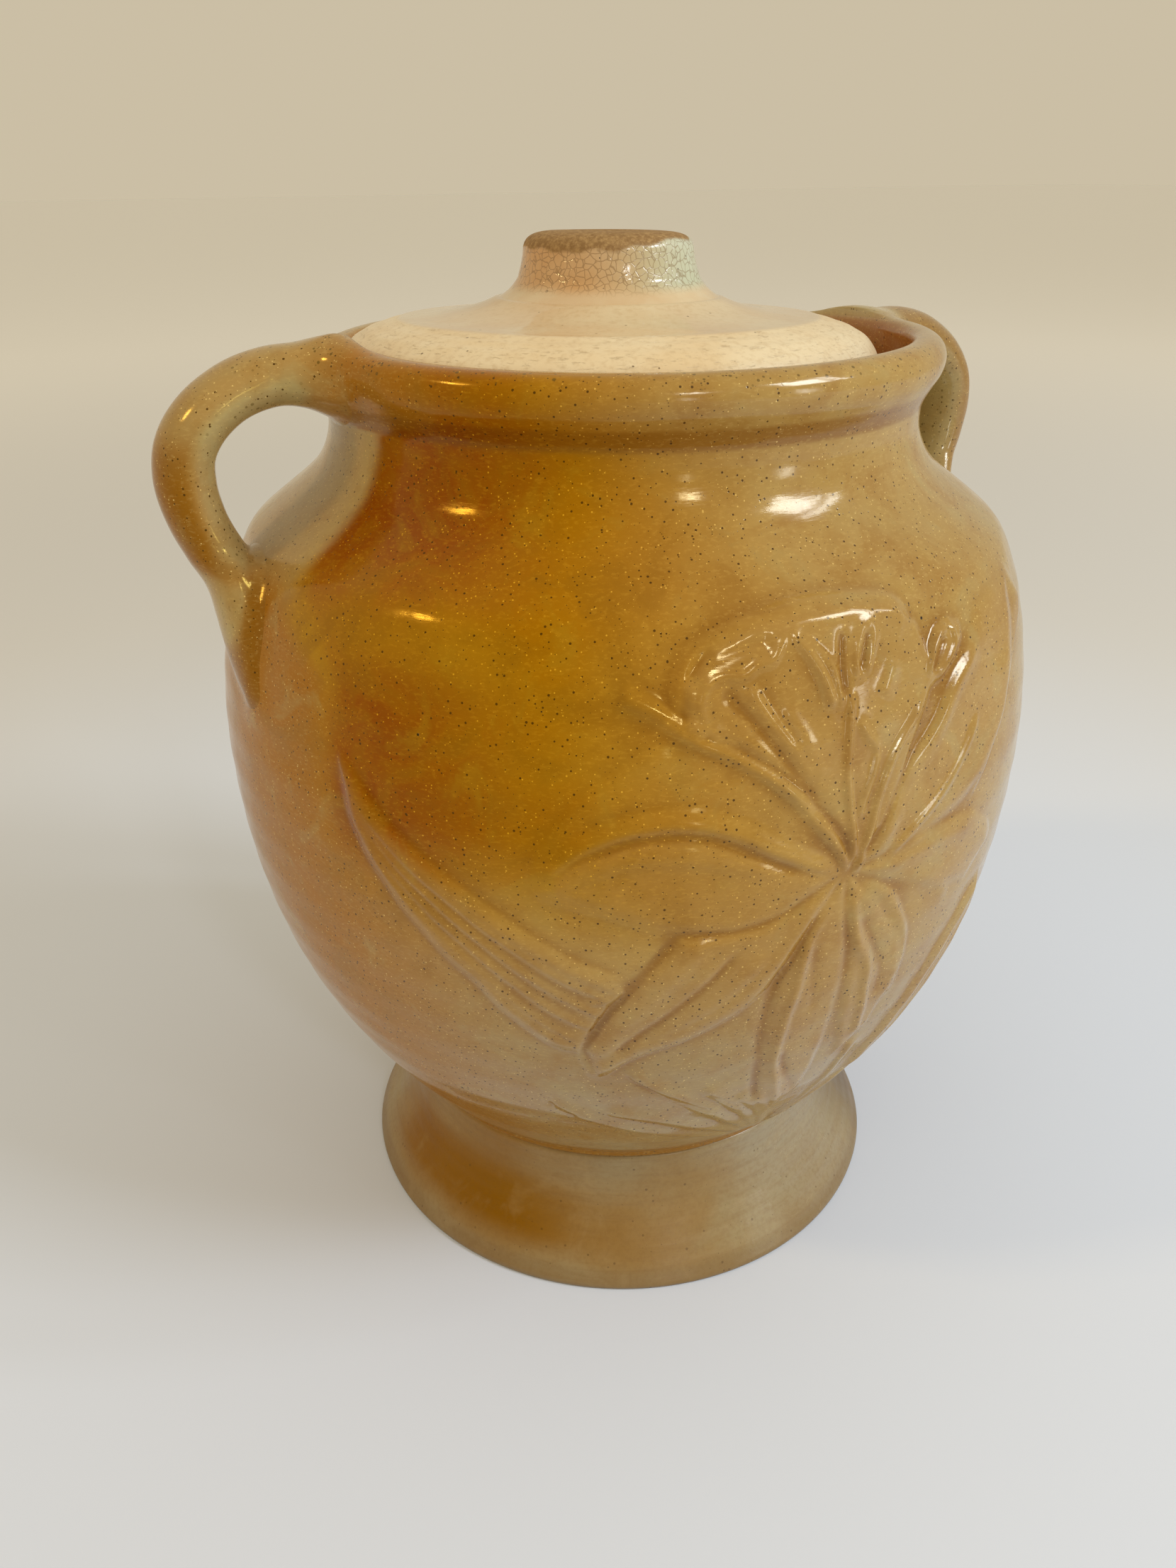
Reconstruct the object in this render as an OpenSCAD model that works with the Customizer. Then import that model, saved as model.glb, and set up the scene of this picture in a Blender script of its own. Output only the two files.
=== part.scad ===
// Butter crock: a footed stoneware jar with two loop handles and a knobbed lid.
// Z = 0 is the surface it stands on, the jar's axis is Z, the handles lie along X
// and the moulded front faces -Y.

/* [Bowl] */
// Radius of the bowl at its widest
belly_r = 87.1; // [84:0.1:90]
// Height of the widest place
belly_z = 122; // [116:1:128]
// Thickness of the bowl's wall
wall = 6; // [5:0.5:7]
// Radius of the neck under the rim
neck_r = 59.5; // [58:0.1:61]
// Height of the rim's crest
rim_z = 200.2; // [199:0.1:202]
// Radius of the rolled rim at its widest
rim_r = 63; // [62:0.1:64]
// Radius of the opening above the ledge
gallery_r = 56.4; // [56:0.1:56.8]
// Height of the ledge that carries the lid
ledge_z = 191.8; // [191:0.1:192.5]
// Radius of the mouth inside the ledge
mouth_r = 50.5; // [49.5:0.5:51]

/* [Foot] */
// Radius of the foot where it stands
foot_r = 65; // [62:0.5:68]
// Radius of the foot at its waist
waist_r = 54.2; // [53:0.1:55]
// Height of the foot, up to the joint with the bowl
foot_z = 30.5; // [29:0.5:32]
// Width of the ring that the crock stands on
ring_w = 8; // [6:0.5:10]

/* [Handles] */
// Distance from the jar's axis to the middle of the strap at its outermost
handle_reach = 88.3; // [87:0.1:90]
// Thickness of the strap, measured outwards
strap_t = 10.6; // [9:0.2:11]
// Width of the strap along Y
strap_w = 15; // [13:0.5:18]
// How much wider the strap is where it joins the rim and the shoulder
strap_flare = 1.35; // [1:0.05:1.5]
// How far the right handle is set round towards the back, in degrees
right_turn = 3; // [0:0.5:4]

/* [Lid] */
// Radius of the lid's edge
lid_r = 53.2; // [52.5:0.1:53.4]
// Radius of the soft ridge round the lid's top
ridge_r = 41.5; // [40:0.1:43]
// Height of the ridge above the jar's base
ridge_z = 202.6; // [202:0.1:203]
// Outer radius of the locating collar under the lid
collar_r = 46.5; // [45:0.5:47]
// How far off centre the lid has been put down, along X
lid_dx = -2.4; // [-2.5:0.1:0]
// How far off centre the lid has been put down, along Y
lid_dy = 1.1; // [0:0.1:1.2]

/* [Knob] */
// Radius of the knob at mid height
knob_r = 16.9; // [16:0.1:17.5]
// Height of the knob's top above the jar's base
knob_z = 218; // [216:0.5:221]

/* [Hidden] */
$fn = 128;

joint_chamfer = 0.6;        // the small groove round the joint of bowl and foot
floor_z = foot_z + 8;       // inside floor of the bowl
pad_z = 206.1;              // flat top of the lid under the knob
pad_r = 22.5;               // radius of the knob's spread base
collar_z = ledge_z - 5.8;   // lower end of the lid's collar
collar_t = 3;               // wall of the collar
strap_sides = 20;           // facets round the strap
strap_steps = 14;           // rings along each half of the strap

// Points along a cubic curve through a and d, drawn towards b and c
function curve_at(a, b, c, d, t) =
    pow(1 - t, 3) * a + 3 * pow(1 - t, 2) * t * b + 3 * (1 - t) * t * t * c + t * t * t * d;
function curve(a, b, c, d, n) = [for (i = [0:n]) curve_at(a, b, c, d, i / n)];

// Outside of the bowl, from the joint with the foot up to the neck's groove
shoulder = [belly_r - 10.7, belly_z + 43.6];
bowl_outside = concat(
    [[waist_r, foot_z], [waist_r + joint_chamfer, foot_z + joint_chamfer]],
    curve([waist_r + 1.3, foot_z + 2.5], [78.5, 60.5], [belly_r, belly_z - 33.7],
          [belly_r, belly_z], 22),
    curve([belly_r, belly_z + 0.4], [belly_r, belly_z + 16], shoulder + [6, -5.7],
          shoulder, 14),
    curve(shoulder + [-0.5, 0.48], shoulder + [-6.6, 6.2], [neck_r, 177],
          [neck_r, 186], 14));

// The rolled rim, from the groove over the crest to the ledge inside
crest_r = rim_r - 3.8;
rim_roll = concat(
    curve([neck_r - 0.6, 189.2], [rim_r + 1.4, 190.6], [rim_r + 1.2, rim_z - 0.1],
          [crest_r, rim_z], 14),
    curve([crest_r - 0.4, rim_z], [crest_r - 1.8, rim_z], [gallery_r, rim_z - 0.6],
          [gallery_r, rim_z - 2.8], 6),
    [[gallery_r, ledge_z], [mouth_r, ledge_z]]);

// Inside of the bowl, from the mouth down to the middle of the floor
belly_in = belly_r - wall;
shoulder_in = shoulder - wall * [0.68, 0.73];
bowl_inside = concat(
    curve([mouth_r, 187], [mouth_r, 174], shoulder_in + [-7.8, 7.5], shoulder_in, 12),
    curve(shoulder_in + [0.4, -0.4], shoulder_in + [5.2, -5.2], [belly_in, belly_z + 15],
          [belly_in, belly_z], 12),
    curve([belly_in, belly_z - 0.4], [belly_in, 86], [66, floor_z + 3.5],
          [38, floor_z], 18),
    [[0, floor_z]]);

module crock_body() {
    color("peru")
    rotate_extrude()
    polygon(concat([[0, foot_z]], bowl_outside, rim_roll, bowl_inside));
}

// Foot: a turned hollow ring that flares to the table
module pedestal_foot() {
    outside = concat(
        [[foot_r - 0.8, 0]],
        curve([foot_r, 0.8], [foot_r - 4.5, 8.5], [waist_r, 14.5],
              [waist_r, foot_z - 5.5], 12),
        [[waist_r + 0.2, foot_z - joint_chamfer], [waist_r - 0.4, foot_z]]);
    inside = curve([waist_r - 8.2, foot_z], [waist_r - 8, 16], [foot_r - ring_w - 3, 8],
                   [foot_r - ring_w, 0], 10);
    color("rosybrown")
    rotate_extrude()
    polygon(concat(outside, inside));
}

// The strap's middle line in the X-Z plane: out of the rim, round, into the shoulder
strap_top = [57.8, 195.3];
strap_out = [handle_reach, 181];
strap_end = [81, 151];
strap_line = concat(
    curve(strap_top, [70, 197.5], [handle_reach, 195], strap_out, strap_steps),
    [for (i = [1:strap_steps])
        curve_at(strap_out, [handle_reach, 170], [84, 164], strap_end, i / strap_steps)]);

// One loop handle on the +X side, a swept oval that thins out as it runs down the body
module loop_handle() {
    last = len(strap_line) - 1;
    rings = [for (i = [0:last])
        let (
            before = strap_line[max(i - 1, 0)],
            after = strap_line[min(i + 1, last)],
            along = (after - before) / norm(after - before),
            outward = [-along[1], along[0]],
            ends = pow(abs(2 * i / last - 1), 3),
            half_w = strap_w / 2 * (1 + (strap_flare - 1) * ends),
            half_t = strap_t / 2 * (i > last / 2 ? 1 - 0.42 * ends : 1 - 0.12 * ends)
        )
        [for (k = [0:strap_sides - 1])
            let (
                angle = 360 * k / strap_sides,
                offset_out = half_t * cos(angle)
            )
            [strap_line[i][0] + outward[0] * offset_out,
             half_w * sin(angle),
             strap_line[i][1] + outward[1] * offset_out]]];
    points = [for (ring = rings) for (p = ring) p];
    sides = [for (i = [0:last - 1]) for (k = [0:strap_sides - 1])
        let (next = (k + 1) % strap_sides)
        [i * strap_sides + k, i * strap_sides + next,
         (i + 1) * strap_sides + next, (i + 1) * strap_sides + k]];
    first_cap = [[for (k = [0:strap_sides - 1]) strap_sides - 1 - k]];
    last_cap = [[for (k = [0:strap_sides - 1]) last * strap_sides + k]];
    polyhedron(points, concat(sides, first_cap, last_cap), convexity = 6);
}

module handle_right() {
    color("goldenrod")
    rotate([0, 0, right_turn])
    loop_handle();
}

module handle_left() {
    color("goldenrod")
    mirror([1, 0, 0])
    loop_handle();
}

// Lid: a bevelled disc with a hollow underside and a collar that drops inside the mouth
module lid() {
    upper = concat(
        [[lid_r, ledge_z], [lid_r + 0.2, ledge_z + 2.2], [lid_r - 0.3, ledge_z + 4]],
        curve([lid_r - 0.8, ledge_z + 5], [lid_r - 3, ridge_z - 1.8], [ridge_r + 4, ridge_z - 1.2],
              [ridge_r, ridge_z], 8),
        curve([ridge_r - 1, ridge_z + 0.1], [35, ridge_z + 0.2], [27, pad_z - 2.4],
              [pad_r, pad_z], 8),
        [[0, pad_z]]);
    under = concat(
        curve([0, pad_z - 6], [30, pad_z - 6.2], [collar_r - collar_t - 1, ledge_z + 6],
              [collar_r - collar_t, ledge_z - 1], 10),
        [[collar_r - collar_t, collar_z], [collar_r - 0.6, collar_z],
         [collar_r, collar_z + 0.8], [collar_r, ledge_z]]);
    color("wheat")
    translate([lid_dx, lid_dy, 0])
    rotate_extrude()
    polygon(concat(upper, under));
}

// Knob: a squat turned button with a spread base and a faintly dished top
module lid_knob() {
    turned = concat(
        [[0, pad_z]],
        curve([pad_r, pad_z], [knob_r + 2.4, pad_z + 1.4], [knob_r + 0.7, pad_z + 2.8],
              [knob_r + 0.3, pad_z + 5.6], 6),
        curve([knob_r - 0.3, knob_z - 2.6], [knob_r - 0.5, knob_z - 0.9], [knob_r - 1.6, knob_z],
              [knob_r - 3.6, knob_z], 6),
        [[0, knob_z - 0.4]]);
    color("tan")
    translate([lid_dx, lid_dy, 0])
    rotate_extrude()
    polygon(turned);
}

crock_body();
pedestal_foot();
handle_left();
handle_right();
lid();
lid_knob();
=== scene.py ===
import math

import bpy
import numpy as np
from mathutils import Matrix, Vector


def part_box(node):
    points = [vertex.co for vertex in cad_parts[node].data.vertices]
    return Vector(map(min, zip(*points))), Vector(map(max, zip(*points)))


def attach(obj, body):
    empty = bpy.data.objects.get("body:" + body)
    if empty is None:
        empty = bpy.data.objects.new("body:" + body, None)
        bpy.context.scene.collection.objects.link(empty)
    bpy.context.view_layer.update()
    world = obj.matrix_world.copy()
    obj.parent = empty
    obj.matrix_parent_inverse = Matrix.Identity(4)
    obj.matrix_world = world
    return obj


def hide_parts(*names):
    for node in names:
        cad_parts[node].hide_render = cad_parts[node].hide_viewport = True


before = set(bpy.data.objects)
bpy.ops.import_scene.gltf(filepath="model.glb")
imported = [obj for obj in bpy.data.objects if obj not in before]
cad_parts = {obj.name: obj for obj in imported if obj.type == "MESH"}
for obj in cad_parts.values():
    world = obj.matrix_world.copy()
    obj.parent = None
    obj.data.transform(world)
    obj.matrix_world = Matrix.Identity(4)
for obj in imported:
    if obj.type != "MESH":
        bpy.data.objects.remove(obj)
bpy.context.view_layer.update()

MM = 0.001


def node_box(name):
    """Lowest and highest corner of a CAD node, in millimetres."""
    low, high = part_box(name)
    return np.array(low) / MM, np.array(high) / MM


# ---------------------------------------------------------------- sizes from the frame
body_low, body_high = node_box("crock_body")
foot_low, foot_high = node_box("pedestal_foot")
lid_low, lid_high = node_box("lid")
knob_low, knob_high = node_box("lid_knob")

BELLY_R = (body_high[1] - body_low[1]) / 2
BELLY_Z = 122.0
RIM_Z = body_high[2]
JOINT_Z = body_low[2]
FOOT_R = (foot_high[1] - foot_low[1]) / 2
WAIST_R = 54.2
NECK_R = 59.5
RIM_R = 63.0
GALLERY_R = 56.4
LEDGE_Z = 191.8
MOUTH_R = 50.5
WALL = 6.0
LID_R = (lid_high[1] - lid_low[1]) / 2
LID_LEAN = (-0.014, -0.014)  # the lid lies a little higher on its left and front
LID_CENTRE = (lid_high + lid_low)[:2] / 2
RIDGE_R, RIDGE_Z = 41.5, 202.6
COLLAR_R, COLLAR_IN = 46.5, 43.5
PAD_Z = knob_low[2]
KNOB_Z = knob_high[2]
PAD_R = (knob_high[1] - knob_low[1]) / 2
KNOB_R = 16.9


# ---------------------------------------------------------------- curves
def cubic(a, b, c, d, n=60):
    """Points along the cubic curve from a to d that is drawn towards b and c."""
    t = np.linspace(0, 1, n)[:, None]
    a, b, c, d = (np.array(p, float) for p in (a, b, c, d))
    return (1 - t) ** 3 * a + 3 * (1 - t) ** 2 * t * b + 3 * (1 - t) * t * t * c + t ** 3 * d


def through(points, n=40):
    """A smooth curve of n points that passes through every given point."""
    p = np.array(points, float)
    p = np.vstack([2 * p[0] - p[1], p, 2 * p[-1] - p[-2]])
    out = []
    spans = len(p) - 3
    for s in np.linspace(0, spans, n):
        i = min(int(s), spans - 1)
        t = s - i
        a, b, c, d = p[i : i + 4]
        out.append(0.5 * (2 * b + (c - a) * t + (2 * a - 5 * b + 4 * c - d) * t * t
                          + (3 * b - a - 3 * c + d) * t ** 3))
    return np.array(out)


def evenly(points, step):
    """The same line with its points about one step apart."""
    length = np.concatenate([[0], np.cumsum(np.linalg.norm(np.diff(points, axis=0), axis=1))])
    places = np.linspace(0, length[-1], max(2, int(round(length[-1] / step)) + 1))
    return np.column_stack([np.interp(places, length, points[:, k]) for k in range(points.shape[1])])


def smooth(x, low, high):
    """0 below low, 1 above high, and a soft step between them."""
    t = np.clip((x - low) / (high - low), 0, 1)
    return t * t * (3 - 2 * t)


def ripple(seed, waves, *coordinates):
    """Smooth noise between about -1 and 1: a sum of a few seeded waves."""
    rng = np.random.default_rng(seed)
    total = 0
    for _ in range(waves):
        phase = rng.uniform(0, 2 * math.pi)
        for c in coordinates:
            phase = phase + rng.uniform(-1, 1) * c
        total = total + np.sin(phase)
    return total / math.sqrt(waves)


def round_ripple(seed, waves, degrees, z, across, up):
    """Smooth noise on a turned shape, without a seam; across and up are its sizes in mm."""
    a = np.radians(degrees)
    return ripple(seed, waves, BELLY_R * np.sin(a) / across, BELLY_R * np.cos(a) / across, z / up)


# ---------------------------------------------------------------- meshes
def build_mesh(name, points_mm, faces, masks=None):
    """A smooth-shaded object from points in millimetres, groups of equal-sided faces and point masks."""
    mesh = bpy.data.meshes.new(name)
    points = np.asarray(points_mm, float) * MM
    mesh.vertices.add(len(points))
    mesh.vertices.foreach_set("co", points.ravel())
    corners = np.concatenate([f.ravel() for f in faces]).astype(np.int32)
    sides = np.concatenate([np.full(len(f), f.shape[1]) for f in faces])
    mesh.loops.add(len(corners))
    mesh.loops.foreach_set("vertex_index", corners)
    mesh.polygons.add(len(sides))
    starts = np.concatenate([[0], np.cumsum(sides)[:-1]]).astype(np.int32)
    mesh.polygons.foreach_set("loop_start", starts)
    mesh.polygons.foreach_set("use_smooth", np.ones(len(sides), bool))
    for mask, values in (masks or {}).items():
        layer = mesh.attributes.new(mask, "FLOAT", "POINT")
        layer.data.foreach_set("value", np.asarray(values, np.float32).ravel())
    mesh.update(calc_edges=True)
    mesh.validate()
    obj = bpy.data.objects.new(name, mesh)
    bpy.context.collection.objects.link(obj)
    return obj


def outward(line):
    """Unit normals of an (r, z) line, on its right-hand side as it is walked."""
    along = np.gradient(line, axis=0)
    along /= np.linalg.norm(along, axis=1)[:, None] + 1e-12
    return np.column_stack([along[:, 1], -along[:, 0]])


def turned_faces(rows, columns, closed_start, closed_end):
    """Faces of a turned shape whose first or last row may be a single point on the axis."""
    def start(row):
        return row * columns - (columns - 1 if closed_start and row > 0 else 0)

    k = np.arange(columns)
    after = (k + 1) % columns
    faces = []
    first = 1 if closed_start else 0
    last = rows - 2 if closed_end else rows - 1
    quads = [np.column_stack([start(i) + k, start(i) + after, start(i + 1) + after, start(i + 1) + k])
             for i in range(first, last)]
    if quads:
        faces.append(np.concatenate(quads))
    if closed_start:
        faces.append(np.column_stack([np.zeros(columns, int), start(1) + after, start(1) + k]))
    if closed_end:
        tip = start(rows - 1)
        faces.append(np.column_stack([np.full(columns, tip), start(rows - 2) + k,
                                      start(rows - 2) + after]))
    return faces


def turn(name, line, columns, push, masks, centre=(0, 0), lift=None):
    """Turns an (r, z) line round the axis. push moves each point outwards and lift upwards, in mm."""
    angle = np.radians(columns) if np.ndim(columns) else np.arange(columns) * 2 * math.pi / columns
    columns = len(angle)
    normal = outward(line)
    grid_r = np.repeat(line[:, :1], columns, axis=1)
    grid_z = np.repeat(line[:, 1:], columns, axis=1)
    degrees = np.degrees(angle)[None, :] * np.ones_like(grid_r)
    move = push(degrees, grid_r, grid_z)
    grid_r = grid_r + normal[:, :1] * move
    grid_z = grid_z + normal[:, 1:] * move
    x = np.sin(angle)[None, :] * grid_r
    y = -np.cos(angle)[None, :] * grid_r
    if lift is not None:
        grid_z = grid_z + lift(degrees, grid_z, x, y)
    x = x + centre[0]
    y = y + centre[1]
    points = np.stack([x, y, grid_z], -1)
    on_axis = [line[0, 0] < 1e-6, line[-1, 0] < 1e-6]
    keep = np.ones(points.shape[:2], bool)
    keep[0, 1:] = not on_axis[0]
    keep[-1, 1:] = not on_axis[1]
    chosen = {key: value[keep] for key, value in masks(degrees, grid_r, grid_z).items()}
    return build_mesh(name, points[keep], turned_faces(len(line), columns, *on_axis), chosen)


# ---------------------------------------------------------------- body outline
SHOULDER = np.array([BELLY_R - 10.7, BELLY_Z + 43.6])
BELLY_IN = BELLY_R - WALL
SHOULDER_IN = SHOULDER - WALL * np.array([0.68, 0.73])
CREST_R = RIM_R - 3.8
FLOOR_Z = JOINT_Z + 8

OUTSIDE = np.vstack([
    [[WAIST_R, JOINT_Z], [WAIST_R + 0.6, JOINT_Z + 0.6]],
    cubic((WAIST_R + 1.3, JOINT_Z + 2.5), (78.5, 60.5), (BELLY_R, BELLY_Z - 33.7), (BELLY_R, BELLY_Z)),
    cubic((BELLY_R, BELLY_Z + 0.4), (BELLY_R, BELLY_Z + 16), SHOULDER + [6, -5.7], SHOULDER),
    cubic(SHOULDER + [-0.5, 0.48], SHOULDER + [-7.0, 6.1], (NECK_R - 0.2, 175.6), (NECK_R, 186)),
])
RIM = np.vstack([
    cubic((NECK_R, 186.5), (NECK_R - 0.1, 188.6), (RIM_R - 2.2, 190.4), (RIM_R - 1.2, 192.1)),
    cubic((RIM_R - 1.0, 192.4), (RIM_R + 1.1, 195.4), (RIM_R + 0.5, RIM_Z - 0.1), (CREST_R, RIM_Z)),
    cubic((CREST_R - 0.4, RIM_Z), (CREST_R - 1.8, RIM_Z), (GALLERY_R, RIM_Z - 0.6),
          (GALLERY_R, RIM_Z - 2.8), 20),
    [[GALLERY_R, LEDGE_Z + 0.8], [GALLERY_R - 0.8, LEDGE_Z], [MOUTH_R + 0.8, LEDGE_Z],
     [MOUTH_R, LEDGE_Z - 0.8]],
])
INSIDE = np.vstack([
    cubic((MOUTH_R, 187), (MOUTH_R, 174), SHOULDER_IN + [-7.8, 7.5], SHOULDER_IN),
    cubic(SHOULDER_IN + [0.4, -0.4], SHOULDER_IN + [5.2, -5.2], (BELLY_IN, BELLY_Z + 15),
          (BELLY_IN, BELLY_Z)),
    cubic((BELLY_IN, BELLY_Z - 0.4), (BELLY_IN, 86), (66, FLOOR_Z + 3.5), (38, FLOOR_Z)),
    [[0, FLOOR_Z]],
])
WHOLE_OUTLINE = np.vstack([[[0, JOINT_Z]], OUTSIDE, RIM, INSIDE])

# ---------------------------------------------------------------- the moulded lily
# Strokes lie in (degrees round the jar from its front, height in mm). A ridge or groove is
# (points, height, width on the left of its travel, width on the right), all in mm.
MM_PER_DEGREE = 1.5


def ridge(points, height, width):
    return points, height, width, width


def edge(points, height, left, right):
    return points, height, left, right


def leaf_ribs(low_edge, high_edge, height, width, places=(0.25, 0.5, 0.75)):
    """Ribs that run between the two edges of a leaf blade."""
    low, high = through(low_edge, 9), through(high_edge, 9)
    return [ridge(low * (1 - p) + high * p, height, width) for p in places]


STAMENS = [
    ridge([(-27.4, 155.4), (-24, 153.2), (-21, 150.8), (-17.6, 148)], 1.7, 1.6),
    ridge([(-24, 152.4), (-19, 148), (-14, 144.3), (-8.5, 138.2), (-4.9, 131.8), (-1.8, 125.4), (-0.4, 121)],
          1.5, 0.85),
    ridge([(3, 162.8), (1.6, 160.7), (0.6, 158), (0.4, 155)], 1.2, 0.5),
    ridge([(3.2, 162.8), (3.5, 160.4), (2.7, 157.6), (1.8, 154.8)], 1.1, 0.5),
    ridge([(-0.2, 152.6), (-0.8, 148), (-1.1, 144), (-1.3, 139), (-0.9, 133.6), (-0.2, 127), (0, 121.6)],
          1.3, 0.6),
    ridge([(0.2, 148.3), (1.5, 145.2), (2.7, 142.6), (2.2, 139), (1, 134.6), (0.3, 130.6)], 1.0, 0.6),
    ridge([(6.2, 156.2), (4, 150.8)], 0.8, 1.5),
    ridge([(16.1, 158.8), (14.1, 157.7), (12.3, 155), (11.4, 151.8)], 1.2, 0.5),
    ridge([(16.5, 158.6), (16.9, 156), (15.3, 153.3), (13.2, 150.6)], 1.1, 0.5),
    ridge([(10.4, 148.8), (8.2, 145.6), (6.2, 142.7), (4.5, 139.2), (3.1, 134.6), (2.1, 128.8), (1.2, 123),
           (0.8, 120)], 1.4, 0.65),
]
UPPER_PETALS = [
    edge([(-20.4, 150), (-20.4, 156.5), (-18, 161.2), (-12, 164), (-5, 165.5), (1.5, 165.3), (7, 164.2),
          (10.4, 161.6)], 2.0, 1.5, 5.5),
    ridge([(-17.4, 149.4), (-18.4, 153.6), (-17.5, 156.3), (-15.6, 157.5), (-13.4, 157.3), (-11.6, 158.7),
           (-9.8, 159.2), (-8.6, 161.6), (-7.6, 163)], 1.4, 1.0),
    ridge([(-7.8, 163), (-5.4, 159.2), (-3.9, 155.4), (-2.8, 150.4)], 1.9, 1.0),
    ridge([(-7.2, 163.3), (-4.7, 160.2), (-2.5, 156.2), (-1.8, 150)], 1.3, 0.6),
    ridge([(-13.2, 156.5), (-11, 151), (-8, 145), (-5.4, 138.5)], 0.7, 1.3),
    ridge([(-8.8, 152), (-6.4, 146), (-4.4, 139.5)], 0.5, 1.4),
    edge([(41, 158.5), (37.5, 152.7), (32.2, 147.2), (28.8, 141.2), (25, 134.6), (20.6, 125.4)],
         1.6, 0.9, 6.5),
    edge([(22.4, 152.9), (18.6, 150.9), (15.6, 147.9), (13.4, 144), (11.2, 141), (8.2, 137.2), (6.1, 132.6),
          (4.5, 127.2), (2.9, 122)], 1.3, 2.0, 1.2),
    ridge([(21.3, 142.3), (18.2, 137), (15.4, 132.6), (12.2, 129), (8.2, 125), (4.9, 121)], 1.1, 0.9),
]
LEFT_PETALS = [
    edge([(-36.4, 121.5), (-33.4, 127.6), (-29.2, 131.8), (-24, 134), (-18.6, 133.9), (-14, 131.7),
          (-9.6, 127.6), (-5, 123.8), (-1.4, 121.3)], 1.6, 2.2, 1.1),
    ridge([(-34.5, 121.5), (-30, 126), (-25, 128.3), (-19.5, 128), (-14, 126), (-9, 123.6)], 0.5, 1.5),
    edge([(-37.2, 121.5), (-35.8, 129), (-32, 136.5), (-27, 142.6), (-21.5, 147.6)], 0.6, 0.9, 5),
    edge([(-37, 121.3), (-32, 119.2), (-27, 117), (-21.6, 113.4)], 0.5, 4, 1.2),
]
FOLDED_PETAL = [
    edge([(-29.9, 76.8), (-27.6, 81.4), (-24, 85.4), (-19, 88.9), (-14, 93.2), (-10.4, 98.4), (-7.4, 104.6),
          (-4.6, 111.5), (-1.6, 118)], 1.5, 2.4, 1.0),
    ridge([(-17.2, 112), (-20.8, 104.4), (-24.6, 96.8), (-27.6, 90.6), (-29.8, 83)], 0.8, 1.6),
    ridge([(-9.6, 108), (-13.6, 101), (-18.4, 94.6), (-23.6, 88.4)], 0.7, 1.6),
    ridge([(-31.8, 92), (-32, 85.5), (-30.2, 76.4)], 0.7, 0.8),
]
LOWER_PETALS = [
    ridge([(-2, 117.6), (-4.4, 110), (-5, 104), (-5.2, 97.7), (-5.9, 89), (-5.7, 78), (-4.2, 70), (-2.2, 62),
           (0, 54)], 1.4, 1.2),
    ridge([(0.5, 116.5), (1, 111.8), (2.7, 104.5), (5, 98.6), (5.9, 91.5), (7.1, 82), (7.6, 76)], 1.3, 1.1),
    edge([(1.6, 118), (6.1, 113.4), (9.2, 106.7), (11.2, 100.2), (11.9, 92), (11.8, 84)], 1.5, 1.0, 2.4),
    edge([(1.5, 120.4), (7, 121.6), (13, 122.6), (20.4, 121.4), (24, 118.6), (27.6, 115), (30, 110.4)],
         0.9, 1.0, 4),
    edge([(3, 118.4), (9, 115.6), (15, 110.6), (19.6, 104.4)], 0.6, 1.4, 1.4),
]
LEAF_LOW = [(-61.5, 139), (-58.6, 127), (-54.6, 117.6), (-51, 111), (-47.6, 105.4), (-43.8, 100),
            (-40.8, 94.4), (-37.6, 89.8), (-34.8, 86.6), (-32, 84.6)]
LEAF_HIGH = [(-61, 140), (-56, 131), (-50.4, 124.6), (-44.6, 119), (-39, 113.4), (-33, 107.4),
             (-28.4, 104.2), (-26.4, 101.6)]
LEFT_LEAF = [
    edge(LEAF_LOW, 1.2, 3.4, 0.9),
    edge(LEAF_HIGH, 1.1, 1.0, 3.0),
    ridge([(-26.4, 101.8), (-27.8, 99.4), (-31, 98.4)], 0.8, 0.8),
] + leaf_ribs(LEAF_LOW, LEAF_HIGH, 1.0, 0.9, (0.2, 0.4, 0.6, 0.8))
RIGHT_LOW = [(31, 102), (30, 92), (27.5, 83), (24, 74), (19, 65.5), (12.6, 57)]
RIGHT_HIGH = [(31, 102), (26.5, 96.5), (22.5, 89), (19.4, 80), (16, 70), (12, 57)]
RIGHT_LEAF = [
    edge(RIGHT_LOW, 1.2, 1.0, 3.0),
    edge(RIGHT_HIGH, 1.2, 3.0, 1.0),
] + leaf_ribs(RIGHT_LOW, RIGHT_HIGH, 0.7, 0.9)
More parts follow.
